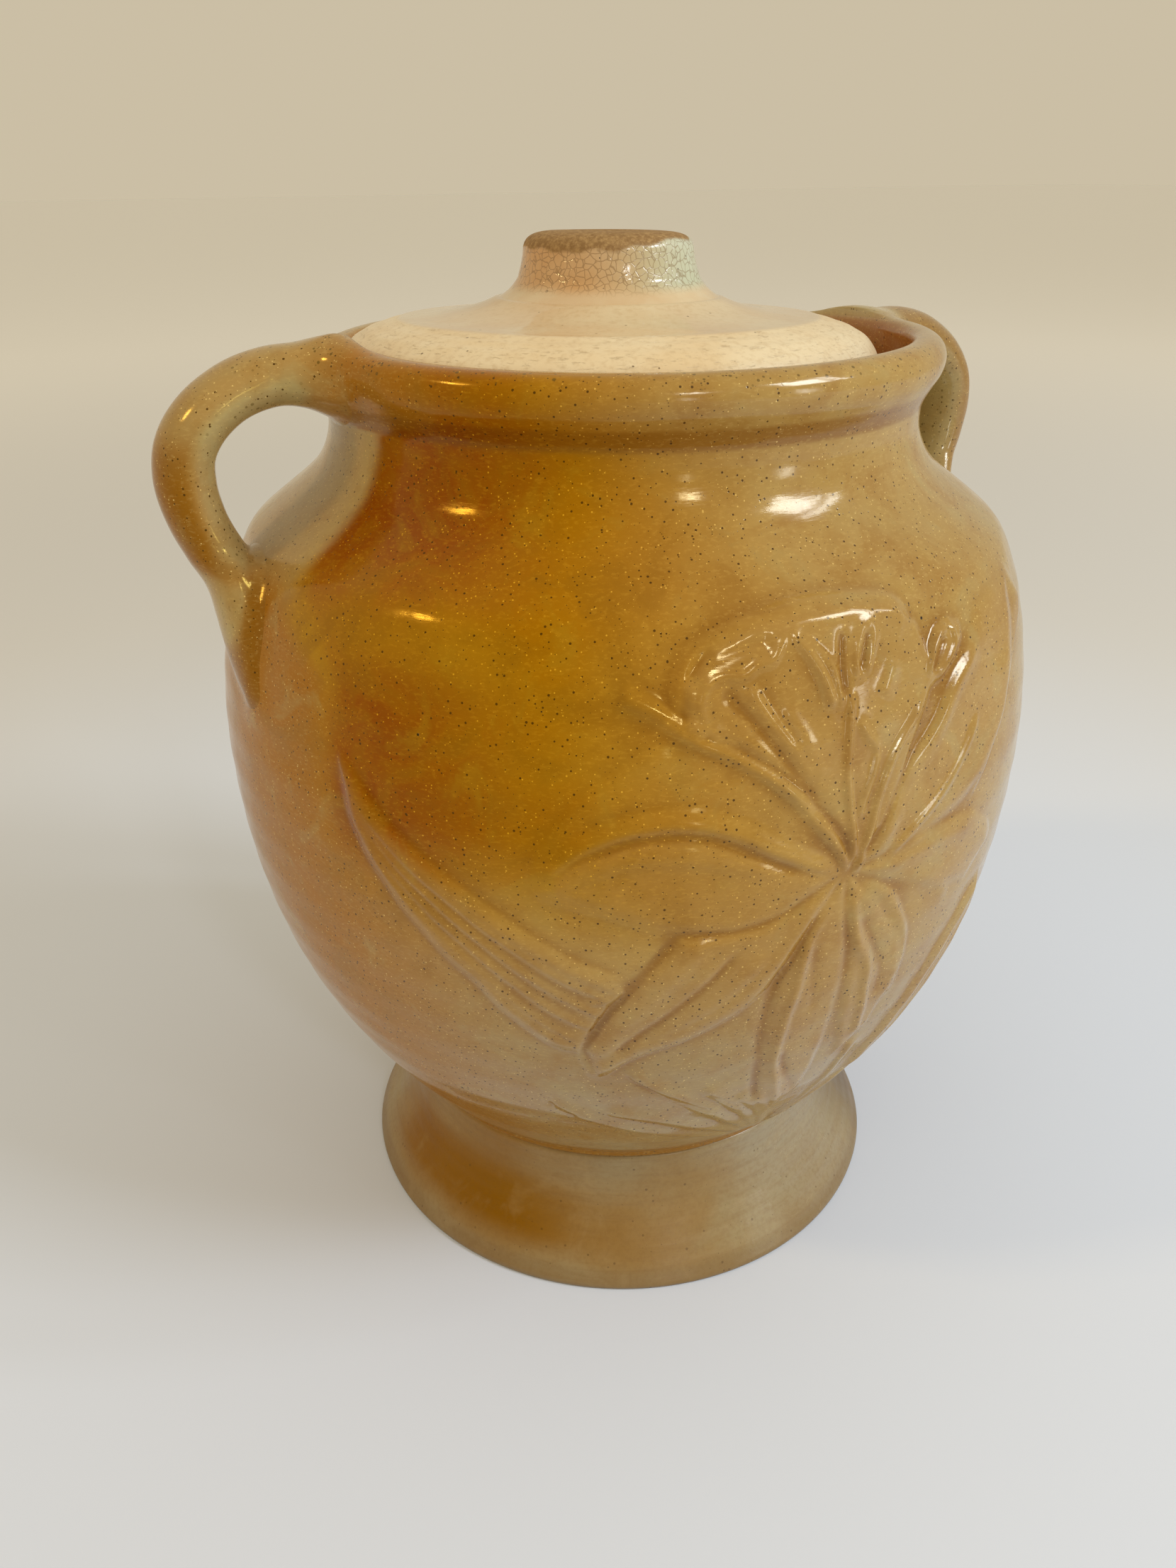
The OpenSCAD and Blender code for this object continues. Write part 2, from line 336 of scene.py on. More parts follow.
# Raised petals and leaf blades: (outline, height, how far in the edge slopes), in mm
CENTRE = (-0.5, 121)
BLADES = [
    (LEAF_LOW + LEAF_HIGH[::-1], 0.7, 1.6),
    (RIGHT_LOW + RIGHT_HIGH[::-1], 0.7, 1.6),
    ([(-36.6, 121.3), (-33.4, 127.4), (-29.2, 131.4), (-24, 133.6), (-18.6, 133.5), (-14, 131.3),
      (-9.6, 127.2), (-5, 123.2), CENTRE, (-8, 114), (-14, 112), (-21.6, 113.4), (-30, 118)], 0.8, 3.2),
    ([CENTRE, (-7.4, 104.6), (-10.4, 98.4), (-14, 93.2), (-19, 88.9), (-24, 85.4), (-29.8, 77),
      (-31.4, 86), (-28.5, 96), (-24.5, 105), (-20.4, 113), (-11, 114)], 1.0, 2.6),
    ([CENTRE, (-5.4, 133.4), (-13, 143.6), (-20, 150), (-20.4, 156.5), (-17, 161.5), (-12, 164),
      (-5, 165.2), (1, 165.4), (7, 164.2), (11, 161), (13, 152), (8, 140), (4, 128)], 0.9, 1.5),
    ([CENTRE, (9, 138), (16.3, 151), (24, 159.4), (30, 161), (36.2, 160.5), (34.2, 155), (31.2, 146.5),
      (28.6, 139), (25.2, 133.4), (19.6, 126), (10, 121.6)], 0.7, 3.0),
    ([CENTRE, (7, 121.6), (13, 122.6), (20.4, 121.4), (27.6, 115), (30, 110.4), (24, 105), (17, 108),
      (9, 115)], 0.6, 2.6),
    ([CENTRE, (-7.6, 104), (-9.4, 92), (-9, 78), (-6, 62), (-1, 52), (2.5, 62), (2, 80), (1.6, 100)],
     0.6, 2.0),
    ([CENTRE, (1.8, 100), (3, 84), (6, 70), (10.6, 78), (12, 92), (10.4, 101), (5, 112.4)], 0.7, 2.0),
    ([(3.3, 164.4), (0.9, 163.6), (-0.5, 160), (-0.9, 156.4), (-0.6, 152.4), (1.7, 153.3), (4.1, 157),
      (5.2, 160.4), (4.8, 163.2)], 1.15, 1.6),
    ([(16.9, 160), (13.8, 158.9), (11.4, 155.2), (10.3, 151.2), (10.4, 148.4), (13.4, 150.4), (17, 152.8),
      (19.3, 156), (19.3, 158.4)], 1.1, 1.6),
]
LEAF_BASE = (3, 37)
LEAF_TIPS = [((-37.6, 65.2), (-30, 57)), ((-29, 63), (-20, 60)), ((-26.8, 78.8), (-14, 62)),
             ((-15.4, 70.6), (-7, 59)), ((-9.6, 66), (-2, 55)), ((9, 74), (9, 57)), ((20, 66), (13, 52))]
BASE_LEAVES = [
    edge([tip, *cubic(tip, (np.array(tip) + bend) / 2, bend, LEAF_BASE, 5)[1:4], LEAF_BASE], 1.3, 2.6, 0.8)
    for tip, bend in LEAF_TIPS
]
RIDGES = (STAMENS + UPPER_PETALS + LEFT_PETALS + FOLDED_PETAL + LOWER_PETALS + LEFT_LEAF
          + RIGHT_LEAF + BASE_LEAVES)
GROOVES = [
    ridge([(-19.6, 155), (-18.4, 159.2), (-15.4, 160.6), (-12.5, 161.6), (-9.6, 162)], 0.9, 1.2),
    ridge([(-17, 149), (-9.3, 141.4), (-4.4, 134), (-1.2, 127), (-0.1, 121.5)], 1.0, 0.9),
    ridge([(-0.9, 162), (-1.3, 157), (-1.3, 152.5)], 0.9, 0.7),
    ridge([(2.6, 161.2), (1.7, 158), (1.1, 155.6)], 1.0, 0.5),
    ridge([(15.4, 157.2), (13.8, 154.6), (12.3, 152)], 1.1, 0.55),
    ridge([(-15.9, 155.7), (-14.1, 152.7), (-12, 149.5), (-9.6, 145.1), (-6.9, 139.9), (-3.6, 132)],
          1.0, 1.4),
    ridge([(-11.4, 155.4), (-9.2, 150.5), (-7, 145.6)], 0.4, 1.2),
    ridge([(-31, 127.6), (-26, 131), (-20, 131.8), (-15.5, 130), (-10.5, 126), (-6, 122.6)], 0.7, 1.1),
    ridge([(-20.4, 112.6), (-23, 106.6), (-26, 100), (-29, 94), (-30.8, 88)], 0.8, 1.2),
    ridge([(-13, 109.4), (-17, 101.6), (-21.6, 94.6), (-25.6, 88.6), (-27.4, 85)], 0.9, 1.0),
    ridge([(-3.2, 116), (-5, 109.6), (-7.4, 102), (-8.4, 93), (-8.3, 83), (-7.2, 72), (-5.6, 62)], 1.3, 1.3),
    ridge([(-3.4, 107), (-2.8, 98), (-2, 90)], 0.5, 1.2),
    ridge([(-5, 80), (-3.2, 73), (-1, 67.4), (1.4, 61)], 0.7, 1.0),
    ridge([(2.6, 111), (5.4, 103), (7.8, 96), (8.8, 87)], 0.6, 1.1),
    ridge([(-26.6, 78.6), (-24, 74), (-20, 69.4), (-16, 64.6), (-12.4, 60.6)], 0.9, 0.6),
    ridge([(-15.2, 70.2), (-11.6, 65.4), (-8, 60.8)], 0.6, 0.6),
    ridge([(-37.6, 65.2), (-35.6, 62.9), (-33.4, 60.4)], 1.0, 0.9),
]


def stroke_height(stroke, degrees, height):
    """How high one stroke stands at each place, and zero where it is far off."""
    points, top, left, right = stroke
    line = through(points, 28) * [MM_PER_DEGREE, 1]
    reach = 2.6 * max(left, right)
    x, y = degrees * MM_PER_DEGREE, height
    out = np.zeros_like(x)
    near = ((x > line[:, 0].min() - reach) & (x < line[:, 0].max() + reach)
            & (y > line[:, 1].min() - reach) & (y < line[:, 1].max() + reach))
    if not near.any():
        return out
    px, py = x[near], y[near]
    best = np.full(px.shape, 1e9)
    place = np.zeros_like(px)
    side = np.zeros_like(px)
    steps = len(line) - 1
    for i in range(steps):
        (ax, ay), (bx, by) = line[i], line[i + 1]
        dx, dy = bx - ax, by - ay
        t = np.clip(((px - ax) * dx + (py - ay) * dy) / (dx * dx + dy * dy + 1e-12), 0, 1)
        gap = np.hypot(px - ax - t * dx, py - ay - t * dy)
        closer = gap < best
        best[closer] = gap[closer]
        place[closer] = (i + t[closer]) / steps
        side[closer] = (dx * (py - ay) - dy * (px - ax))[closer]
    width = np.where(side > 0, left, right)
    ends = smooth(place, -0.02, 0.12) * smooth(1 - place, -0.02, 0.12)
    out[near] = top * ends * np.exp(-((best / width) ** 2))
    return out


def outline_distance(x, y, line):
    """Signed distance to an outline given as a line of points, positive outside it."""
    best = np.full(x.shape, 1e9)
    inside = np.zeros(x.shape, bool)
    for (ax, ay), (bx, by) in zip(line[:-1], line[1:]):
        dx, dy = bx - ax, by - ay
        t = np.clip(((x - ax) * dx + (y - ay) * dy) / (dx * dx + dy * dy + 1e-12), 0, 1)
        best = np.minimum(best, np.hypot(x - ax - t * dx, y - ay - t * dy))
        if abs(dy) > 1e-9:
            inside ^= ((ay > y) != (by > y)) & (x < ax + (y - ay) / dy * dx)
    return np.where(inside, -best, best)


def blade_height(blade, degrees, height):
    """Height of one raised blade: flat inside, sloping down to nothing at its outline."""
    outline, top, slope = blade
    ring = np.vstack([outline, outline[:1]]) * [MM_PER_DEGREE, 1]
    depth = -outline_distance(degrees * MM_PER_DEGREE, height, ring)
    return top * smooth(depth, -0.25 * slope, slope)


def softened(field, rounds):
    """A grid blurred a little; opposite edges run into each other, where it is almost zero."""
    for _ in range(rounds):
        for axis in (0, 1):
            before = np.roll(field, 1, axis)
            after = np.roll(field, -1, axis)
            field = (before + 2 * field + after) / 4
    return field


# The lily is worked out once on a fine grid of (degrees, height), and read from there
LILY_SPAN = 68  # degrees from the middle of a moulded face to its end
LILY_DEGREES = np.arange(-LILY_SPAN, LILY_SPAN + 0.1, 0.16)
LILY_HEIGHTS = np.arange(32, 172.1, 0.25)
LINE_SHARE = 0.58  # the moulding is worn and glazed over: strokes stand this share of their height


def lily():
    """Height of the whole relief, and where its blades are, as two grids."""
    height, degrees = np.meshgrid(LILY_HEIGHTS, LILY_DEGREES, indexing="ij")
    blades = np.zeros_like(degrees)
    for blade in BLADES:
        blades = np.maximum(blades, blade_height(blade, degrees, height))
    lines = np.zeros_like(degrees)
    for stroke in RIDGES:
        lines += stroke_height(stroke, degrees, height) ** 3
    cut = np.zeros_like(degrees)
    for stroke in GROOVES:
        cut = np.maximum(cut, stroke_height(stroke, degrees, height))
    whole = 0.85 * blades * (1 + 0.12 * ripple(61, 6, degrees / 3, height / 4))
    whole += LINE_SHARE * (np.cbrt(lines) - cut) * (0.8 + 0.2 * smooth(height, 95, 125))
    return softened(whole, 1), softened(blades, 3)


LILY_RELIEF, LILY_BLADES = lily()


def moulded(grid, degrees, height):
    """Reads a lily grid on the front of the jar, and the same moulding again on the back."""
    around = (degrees + 90) % 180 - 90
    c = (around - LILY_DEGREES[0]) / (LILY_DEGREES[1] - LILY_DEGREES[0])
    h = (height - LILY_HEIGHTS[0]) / (LILY_HEIGHTS[1] - LILY_HEIGHTS[0])
    covered = (c > 0) & (c < len(LILY_DEGREES) - 1) & (h > 0) & (h < len(LILY_HEIGHTS) - 1)
    i = np.clip(h.astype(int), 0, len(LILY_HEIGHTS) - 2)
    k = np.clip(c.astype(int), 0, len(LILY_DEGREES) - 2)
    fh, fc = h - i, c - k
    value = ((grid[i, k] * (1 - fc) + grid[i, k + 1] * fc) * (1 - fh)
             + (grid[i + 1, k] * (1 - fc) + grid[i + 1, k + 1] * fc) * fh)
    return np.where(covered, value, 0)


# ---------------------------------------------------------------- handles
# Middle line of the right handle (x, y, z): out of the rim and round the loop, then as
# (degrees round, height, distance out from the jar's skin) for the tail that thins out on
# the shoulder and leans towards the front.
HANDLE_LOOP = [
    (61.5, 0, 195.2), (65.5, 0, 195.7), (71.0, 0, 195.8), (77.5, 0, 194.0), (83.5, 0, 190.0),
    (87.4, 0, 184.6), (88.3, 0, 178.4), (87.2, 0, 172.0), (85.2, -0.4, 166.4),
]
HANDLE_TAIL = [(88.2, 161.2, 4.2), (86.4, 156.2, 2.3), (84.4, 151.4, 1.1), (82.2, 147.0, 0.2),
               (80.2, 142.8, -0.6)]


def skin_radius(z):
    """Radius of the jar's outer skin at a height."""
    return np.interp(z, OUTSIDE[:, 1], OUTSIDE[:, 0])


def tail_point(around, z, lift):
    """A point that far out from the skin."""
    a = math.radians(around)
    r = skin_radius(z) + lift
    return (math.sin(a) * r, -math.cos(a) * r, z)


HANDLE_LINE = through(HANDLE_LOOP + [tail_point(*place) for place in HANDLE_TAIL], 100)
HANDLE_THICK = [(0, 5.6), (0.1, 5.2), (0.25, 5.0), (0.45, 5.4), (0.62, 5.2), (0.7, 4.4), (0.78, 3.2),
                (0.86, 2.2), (0.93, 1.5), (1, 0.8)]
HANDLE_WIDE = [(0, 12.5), (0.07, 10.4), (0.16, 8.2), (0.35, 7.4), (0.5, 7.3), (0.64, 7.8), (0.72, 8.2),
               (0.8, 7.4), (0.88, 5.4), (0.95, 3.0), (1, 1.2)]
RIGHT_TURN = 3.0      # degrees that the right handle is set round towards the back
BLEND = 9.0           # reach of the fillets where a handle joins the jar
TUCK = 0.03           # how far the handle's skin dips under the jar's where both follow the fillet
FILLET_ON_BODY = 1.0  # the jar's own skin rises this far up the fillet
HANDLE_END_R = 58.2   # the handle's piece ends here, inside the rim
HANDLE_DEPTH = 2.0    # how far the handle's piece reaches into the jar's wall
FILLET_END = 14.0     # nothing of the handle's piece lies farther than this from its strap
FILLET_SINK = 0.35    # the far part of the fillets sinks this much more, under the jar's own skin
HANDLE_ROOM = (49, -28, 138), (96, 22, 208)  # corners of a box round the upright right handle
HANDLE_STEP = 0.8     # cell size of its mesh


# The outline's distance on a fine (r, z) grid, so that millions of points can read it
GRID_STEP = 0.25
GRID_R = np.arange(40, 110, GRID_STEP)
GRID_Z = np.arange(120, 214, GRID_STEP)
GRID_D = outline_distance(*np.meshgrid(GRID_R, GRID_Z, indexing="ij"), WHOLE_OUTLINE)


def jar_distance(p):
    """Distance from the jar's clay at each point, negative inside it."""
    r = (np.hypot(p[..., 0], p[..., 1]) - GRID_R[0]) / GRID_STEP
    z = (p[..., 2] - GRID_Z[0]) / GRID_STEP
    i = np.clip(r.astype(int), 0, len(GRID_R) - 2)
    k = np.clip(z.astype(int), 0, len(GRID_Z) - 2)
    fr, fz = np.clip(r - i, 0, 1), np.clip(z - k, 0, 1)
    return ((GRID_D[i, k] * (1 - fr) + GRID_D[i + 1, k] * fr) * (1 - fz)
            + (GRID_D[i, k + 1] * (1 - fr) + GRID_D[i + 1, k + 1] * fr) * fz)


def handle_frames():
    """Along the handle: direction, outward side, width side, and half thickness and width."""
    along = np.gradient(HANDLE_LINE, axis=0)
    along /= np.linalg.norm(along, axis=1)[:, None]
    part = np.linspace(0, 1, len(HANDLE_LINE))
    loop_side = np.cross(along, [0, 1.0, 0])
    jar_side = HANDLE_LINE * [1, 1, 0]
    jar_side /= np.linalg.norm(jar_side, axis=1)[:, None]
    tail = smooth(part, 0.62, 0.8)[:, None]
    out = loop_side * (1 - tail) + jar_side * tail
    out -= along * np.sum(out * along, axis=1)[:, None]
    out /= np.linalg.norm(out, axis=1)[:, None]
    wide = np.cross(along, out)
    thick = np.interp(part, *zip(*HANDLE_THICK))
    breadth = np.interp(part, *zip(*HANDLE_WIDE))
    return out, wide, thick, breadth


def handle_distance(p):
    """Distance from the right handle's strap, and how far over its inner face each point lies."""
    out, wide, thick, breadth = handle_frames()
    flat = p.reshape(-1, 3)
    best = np.full(len(flat), 1e9)
    which = np.zeros(len(flat))
    for i in range(len(HANDLE_LINE) - 1):
        a = HANDLE_LINE[i]
        d = HANDLE_LINE[i + 1] - a
        t = np.clip(((flat - a) @ d) / (d @ d), 0, 1)
        gap = np.linalg.norm(flat - a - t[:, None] * d, axis=1)
        closer = gap < best
        best[closer] = gap[closer]
        which[closer] = i + t[closer]
    i = np.minimum(which.astype(int), len(HANDLE_LINE) - 2)
    t = (which - i)[:, None]

    def along(values):
        return values[i] * (1 - t) + values[i + 1] * t

    middle = flat - along(HANDLE_LINE)
    u = np.sum(middle * along(out), axis=1)
    v = np.sum(middle * along(wide), axis=1)
    w = np.sqrt(np.maximum(best ** 2 - u ** 2 - v ** 2, 0))
    half_u = along(thick[:, None])[:, 0]
    half_v = along(breadth[:, None])[:, 0]
    k0 = np.sqrt((u / half_u) ** 2 + (v / half_v) ** 2 + (w / half_u) ** 2) + 1e-9
    k1 = np.sqrt((u / half_u ** 2) ** 2 + (v / half_v ** 2) ** 2 + (w / half_u ** 2) ** 2) + 1e-9
    distance = k0 * (k0 - 1) / k1
    return distance.reshape(p.shape[:-1]), (-u / half_u).reshape(p.shape[:-1])


def fillet(a, b, reach):
    """The smaller of two distances, rounded off where they are nearly equal."""
    h = np.maximum(reach - np.abs(a - b), 0) / reach
    return np.minimum(a, b) - h ** 3 * reach / 6


def placed_handle(p, side):
    """Moves points of the upright right-hand handle to its place on either side."""
    if side < 0:
        return p * [-1, 1, 1]
    a = math.radians(RIGHT_TURN)
    x = p[..., 0] * math.cos(a) - p[..., 1] * math.sin(a)
    y = p[..., 0] * math.sin(a) + p[..., 1] * math.cos(a)
    return np.stack([x, y, p[..., 2]], -1)


def handle_field(p):
    """Negative inside the handle piece: the strap and its fillets, ending inside the jar's wall."""
    strap, _ = handle_distance(p)
    jar = jar_distance(p)
    skin = fillet(strap, jar, BLEND) + TUCK + FILLET_SINK * smooth(strap, 2.0, 5.0)
    inner_end = HANDLE_END_R - np.hypot(p[..., 0], p[..., 1])
    return np.maximum(np.maximum(skin, inner_end), np.maximum(-jar - HANDLE_DEPTH, strap - FILLET_END))


def surface_net(field, low, high, step):
    """A closed quad mesh of the places where field is zero."""
    axes = [np.arange(lo, hi + step, step) for lo, hi in zip(low, high)]
    grid = np.stack(np.meshgrid(*axes, indexing="ij"), -1)
    value = field(grid)
    inside = value < 0
    nx, ny, nz = value.shape
    total = np.zeros((nx - 1, ny - 1, nz - 1, 3))
    count = np.zeros((nx - 1, ny - 1, nz - 1))
    corners = [(i, j, k) for i in (0, 1) for j in (0, 1) for k in (0, 1)]

    def cell_slice(c):
        return tuple(slice(o, n - 1 + o) for o, n in zip(c, value.shape))

    for c in corners:
        for axis in range(3):
            if c[axis]:
                continue
            d = list(c)
            d[axis] = 1
            va, vb = value[cell_slice(c)], value[cell_slice(d)]
            cross = (va < 0) != (vb < 0)
            t = np.where(cross, va / np.where(cross, va - vb, 1), 0)
            pa, pb = grid[cell_slice(c)], grid[cell_slice(d)]
            total += np.where(cross[..., None], pa + (pb - pa) * t[..., None], 0)
            count += cross
    used = count > 0
    index = np.full(used.shape, -1)
    index[used] = np.arange(used.sum())
    points = total[used] / count[used][:, None]
    quads = []
    for axis in range(3):
        b, c = (axis + 1) % 3, (axis + 2) % 3
        low_side = [slice(1, -1)] * 3
        high_side = [slice(1, -1)] * 3
        low_side[axis] = slice(0, -1)
        high_side[axis] = slice(1, None)
        va, vb = inside[tuple(low_side)], inside[tuple(high_side)]
        for flips, reverse in ((va & ~vb, False), (~va & vb, True)):
            at = np.argwhere(flips)
            if not len(at):
                continue
            at[:, b] += 1
            at[:, c] += 1
            ring = []
            for ob, oc in ((0, 0), (-1, 0), (-1, -1), (0, -1)):
                q = at.copy()
                q[:, b] += ob
                q[:, c] += oc
                ring.append(index[q[:, 0], q[:, 1], q[:, 2]])
            ring = np.column_stack(ring)
            quads.append(ring[:, ::-1] if reverse else ring)
    points = settle(field, points, step)
    return points, np.concatenate(quads)


def gradient(field, p, h=0.05):
    """Numeric slope of a field at each point."""
    return np.stack([(field(p + h * e) - field(p - h * e)) / (2 * h) for e in np.eye(3)], -1)


def settle(field, points, step, rounds=2):
    """Moves points onto the zero surface, by no more than half a step each time."""
    for _ in range(rounds):
        slope = gradient(field, points)
        size = np.sum(slope ** 2, axis=1)
        move = (field(points) / np.maximum(size, 0.05))[:, None] * slope
        length = np.linalg.norm(move, axis=1)
        points = points - move * np.minimum(1, 0.5 * step / (length + 1e-9))[:, None]
    return points


def handle_rise(degrees, r, z):
    """How far the jar's skin rises where it runs up the handles' fillets."""
    turned = from_centre(degrees)
    angle = np.radians(np.where(turned > 0, turned - RIGHT_TURN, -turned))
    p = np.stack([np.sin(angle) * r, -np.cos(angle) * r, z], -1)
    near = (p[..., 0] > 45) & (np.abs(p[..., 1]) < 36) & (z > 132)
    out = np.zeros_like(r)
    strap, _ = handle_distance(p[near])
    h = np.maximum(BLEND - np.maximum(strap, 0), 0) / BLEND
    out[near] = np.minimum(h ** 3 * BLEND / 6, FILLET_ON_BODY)
    return out


def from_centre(degrees, centre=0.0):
    """Degrees from a centre to each place, from -180 to 180; the centre is the front unless given."""
    return (degrees - centre + 180) % 360 - 180


def away(degrees, centre):
    """Degrees between each place and a centre, the short way round."""
    return np.abs(from_centre(degrees, centre))


def rim_shift(degrees, z):
    """How much higher or lower the hand-finished rim stands: a peak over the left handle, low behind."""
    turned = from_centre(degrees)
    left = np.exp(-np.abs((turned + 84) / np.where(turned > -84, 10, 6)) ** 1.3)
    right = np.exp(-np.abs((turned - 90 - RIGHT_TURN / 3) / 13) ** 1.3)
    back = smooth(-np.cos(np.radians(turned - 8)), -0.12, 0.55)
    dips = 0.9 * np.exp(-(away(degrees, -116) / 18) ** 2) + 1.3 * np.exp(-(away(degrees, 114) / 20) ** 2)
    uneven = 0.25 * round_ripple(51, 5, degrees, 0, 45, 1)
    return (1.7 * left - 0.3 * right - 1.2 * back - dips + uneven) * smooth(z, LEDGE_Z + 1, RIM_Z - 1)


# ---------------------------------------------------------------- where the glaze changes
def amber_on_face(around, z, drift):
    """Golden amber over the upper left and middle of one face of the jar: partly the glaze's colour, partly
    painted warm shade and reflection.
    """
    on_rim = smooth(z, 186, 194)
    start = around - 12 * (1 - smooth(z, 148, 162)) - 4 * on_rim
    left = smooth(start, -80, -73 + 20 * on_rim) * (1 - smooth(around + drift + 12 * on_rim, -36, 9))
    return left * smooth(z + drift + 0.35 * around, 84, 120)


def amber_mask(degrees, z):
    """The amber of the front, and a weaker patch in the same place on the back."""
    drift = 6 * round_ripple(11, 5, degrees, z, 24, 17)
    front = amber_on_face(from_centre(degrees), z, drift)
    back = amber_on_face(from_centre(degrees, 180), z, drift)
    return np.maximum(front, 0.7 * back)


def deep_mask(degrees, z):
    """The darkest, reddest amber, left of the lily, with a weaker stretch on the shoulder: partly the
    glaze's colour, partly painted shade on the left side.
    """
    around = from_centre(degrees)
    drift = 6 * round_ripple(15, 5, degrees, z, 18, 12)
    on_rim = smooth(z, 186, 194)
    start = around - 12 * (1 - smooth(z, 150, 170)) - 6 * on_rim
    left = smooth(start, -77, -72 + 20 * on_rim) * (1 - smooth(around + drift, -56, -28))
    gap = 0.65 * np.exp(-((z + drift / 2 - 161) / 6) ** 2)
    return left * (1 - 0.3 * on_rim) * smooth(z + drift, 108, 134) * (1 - gap)


def rose_mask(degrees, z):
    """Pinkish tan towards the left side and round behind it: partly the glaze's colour, partly a painted
    warm reflection.
    """
    drift = 8 * round_ripple(12, 5, degrees, z, 30, 20)
    return 1 - smooth(away(degrees, -102) + drift, 40, 80)


def pale_mask(degrees, z):
    """Paler, greyer glaze low down and round to the right; on the right it is partly a painted reflection of
    the window.
    """
    drift = 8 * round_ripple(13, 5, degrees, z, 33, 20)
    right = 1 - smooth(away(degrees, 110) - drift, 60, 92)
    low = 1 - smooth(z + drift, 70, 118)
    return np.maximum(right * 0.8, low)


def glaze_masks(degrees, r, z, pool_and_shade, handle_grey=None):
    """The point masks that the glaze material reads."""
    grey = np.zeros_like(z) if handle_grey is None else handle_grey
    crest = smooth(z, RIM_Z - 3.2, RIM_Z - 1.2) * smooth(r, 56.5, 58)
    around = from_centre(degrees)
    # Painted shadow and reflection of each handle: the jar's skin beside it is greyed.
    handle_shadow = smooth(np.abs(around) + ripple(16, 4, z / 9), 72.5, 76.5) * smooth(z, 158, 168)
    grey = np.maximum(grey, 0.65 * handle_shadow * (1 - smooth(r, 86, 88)) * (z < LEDGE_Z - 4))
    rim_side = smooth(np.abs(around), 72, 88) * smooth(z, 188, 192)
    grey = np.maximum(grey, 0.6 * rim_side)
    drip = 2.2 * round_ripple(17, 6, degrees, 0, 10, 1) + 1.2 * round_ripple(18, 6, degrees, 0, 4, 1)
    hem = 1 - smooth(z + drip, 38.5, 40.5)
    return {"amber": amber_mask(degrees, z), "deep": deep_mask(degrees, z), "rose": rose_mask(degrees, z),
            "pale": pale_mask(degrees, z), "pool_and_shade": pool_and_shade, "grey": grey, "crest": crest, "hem": hem}


# ---------------------------------------------------------------- body, handles and foot
FINE_STEP, COARSE_STEP = 0.28, 0.9  # degrees between columns on and off the moulded faces


def body_columns():
    """Column angles, close together where the relief is, the same on the front and the back."""
    moulded_face = np.arange(-LILY_SPAN, LILY_SPAN, FINE_STEP)
    plain_side = np.arange(LILY_SPAN, 180 - LILY_SPAN, COARSE_STEP)
    half = np.concatenate([moulded_face, plain_side])
    return np.concatenate([half, half + 180])


def blurred(field, rounds):
    """A grid softened along both directions; columns wrap round the jar."""
    for _ in range(rounds):
        field = (np.roll(field, 1, 1) + 2 * field + np.roll(field, -1, 1)) / 4
        up = np.vstack([field[:1], field[:-1]])
        down = np.vstack([field[1:], field[-1:]])
        field = (up + 2 * field + down) / 4
    return field


def make_body():
    outer = evenly(np.vstack([OUTSIDE, RIM]), 0.5)
    inner = evenly(INSIDE, 2.6)
    line = np.vstack([[[0, JOINT_Z], [30, JOINT_Z]], outer, inner])
    rows = 2 + len(outer)
    state = {}

    def push(degrees, r, z):
        move = np.zeros_like(r)
        top = slice(2, rows)
        outer_side = r[top] > 53
        soft = moulded(LILY_RELIEF, degrees[top], z[top]) * outer_side
        state["leafy"] = np.zeros_like(r)
        blades = moulded(LILY_BLADES, degrees[top], z[top])
        state["leafy"][top] = np.clip(blades * 1.5, 0, 1) * outer_side
        rise = handle_rise(degrees[top], r[top], z[top])
        outside = np.arange(rows - 2)[:, None] < np.argmax(outer[:, 1]) + 3
        wobble = 0.12 * round_ripple(5, 6, degrees[top], z[top], 36, 15)
        wheel = 0.05 * np.sin(z[top] / 1.35 + 0.4 * np.sin(np.radians(degrees[top])))
        uneven = (wobble + wheel) * (1 - smooth(rise, 0.02, 0.5))
        move[top] = np.where(outside, soft + rise + uneven, 0)
        state["pool_and_shade"] = np.zeros_like(r)
        # Darker where glaze pools in the lily's hollows, with painted shade in them too; painted shade in
        # the groove under the rim; pooled glaze where the handles' fillets meet the jar.
        hollow = np.clip((blurred(soft, 34) - soft) * 2.4, -1, 0.75)
        groove = 0.9 * smooth(z[top], 187.0, 188.4) * (1 - smooth(z[top], 190.6, 192.4)) * (r[top] > 57)
        seam = 0.9 * smooth(rise, 0.4, 1.0) * (1 - smooth(z[top], 160, 166))
        state["pool_and_shade"][top] = np.where(outside, np.maximum(hollow + groove, seam), 0)
        return move

    def masks(degrees, r, z):
        out = glaze_masks(degrees, r, z, state["pool_and_shade"])
        row = np.arange(len(line))[:, None] * np.ones_like(r)
        crest_row = np.argmax(line[:, 1])
        out["inside"] = smooth(row, crest_row + 1, crest_row + 7)
        out["leafy"] = state["leafy"]
        return out

    def lift(degrees, z, x, y):
        return rim_shift(degrees, z)

    return turn("stoneware_body", line, body_columns(), push, masks, lift=lift)


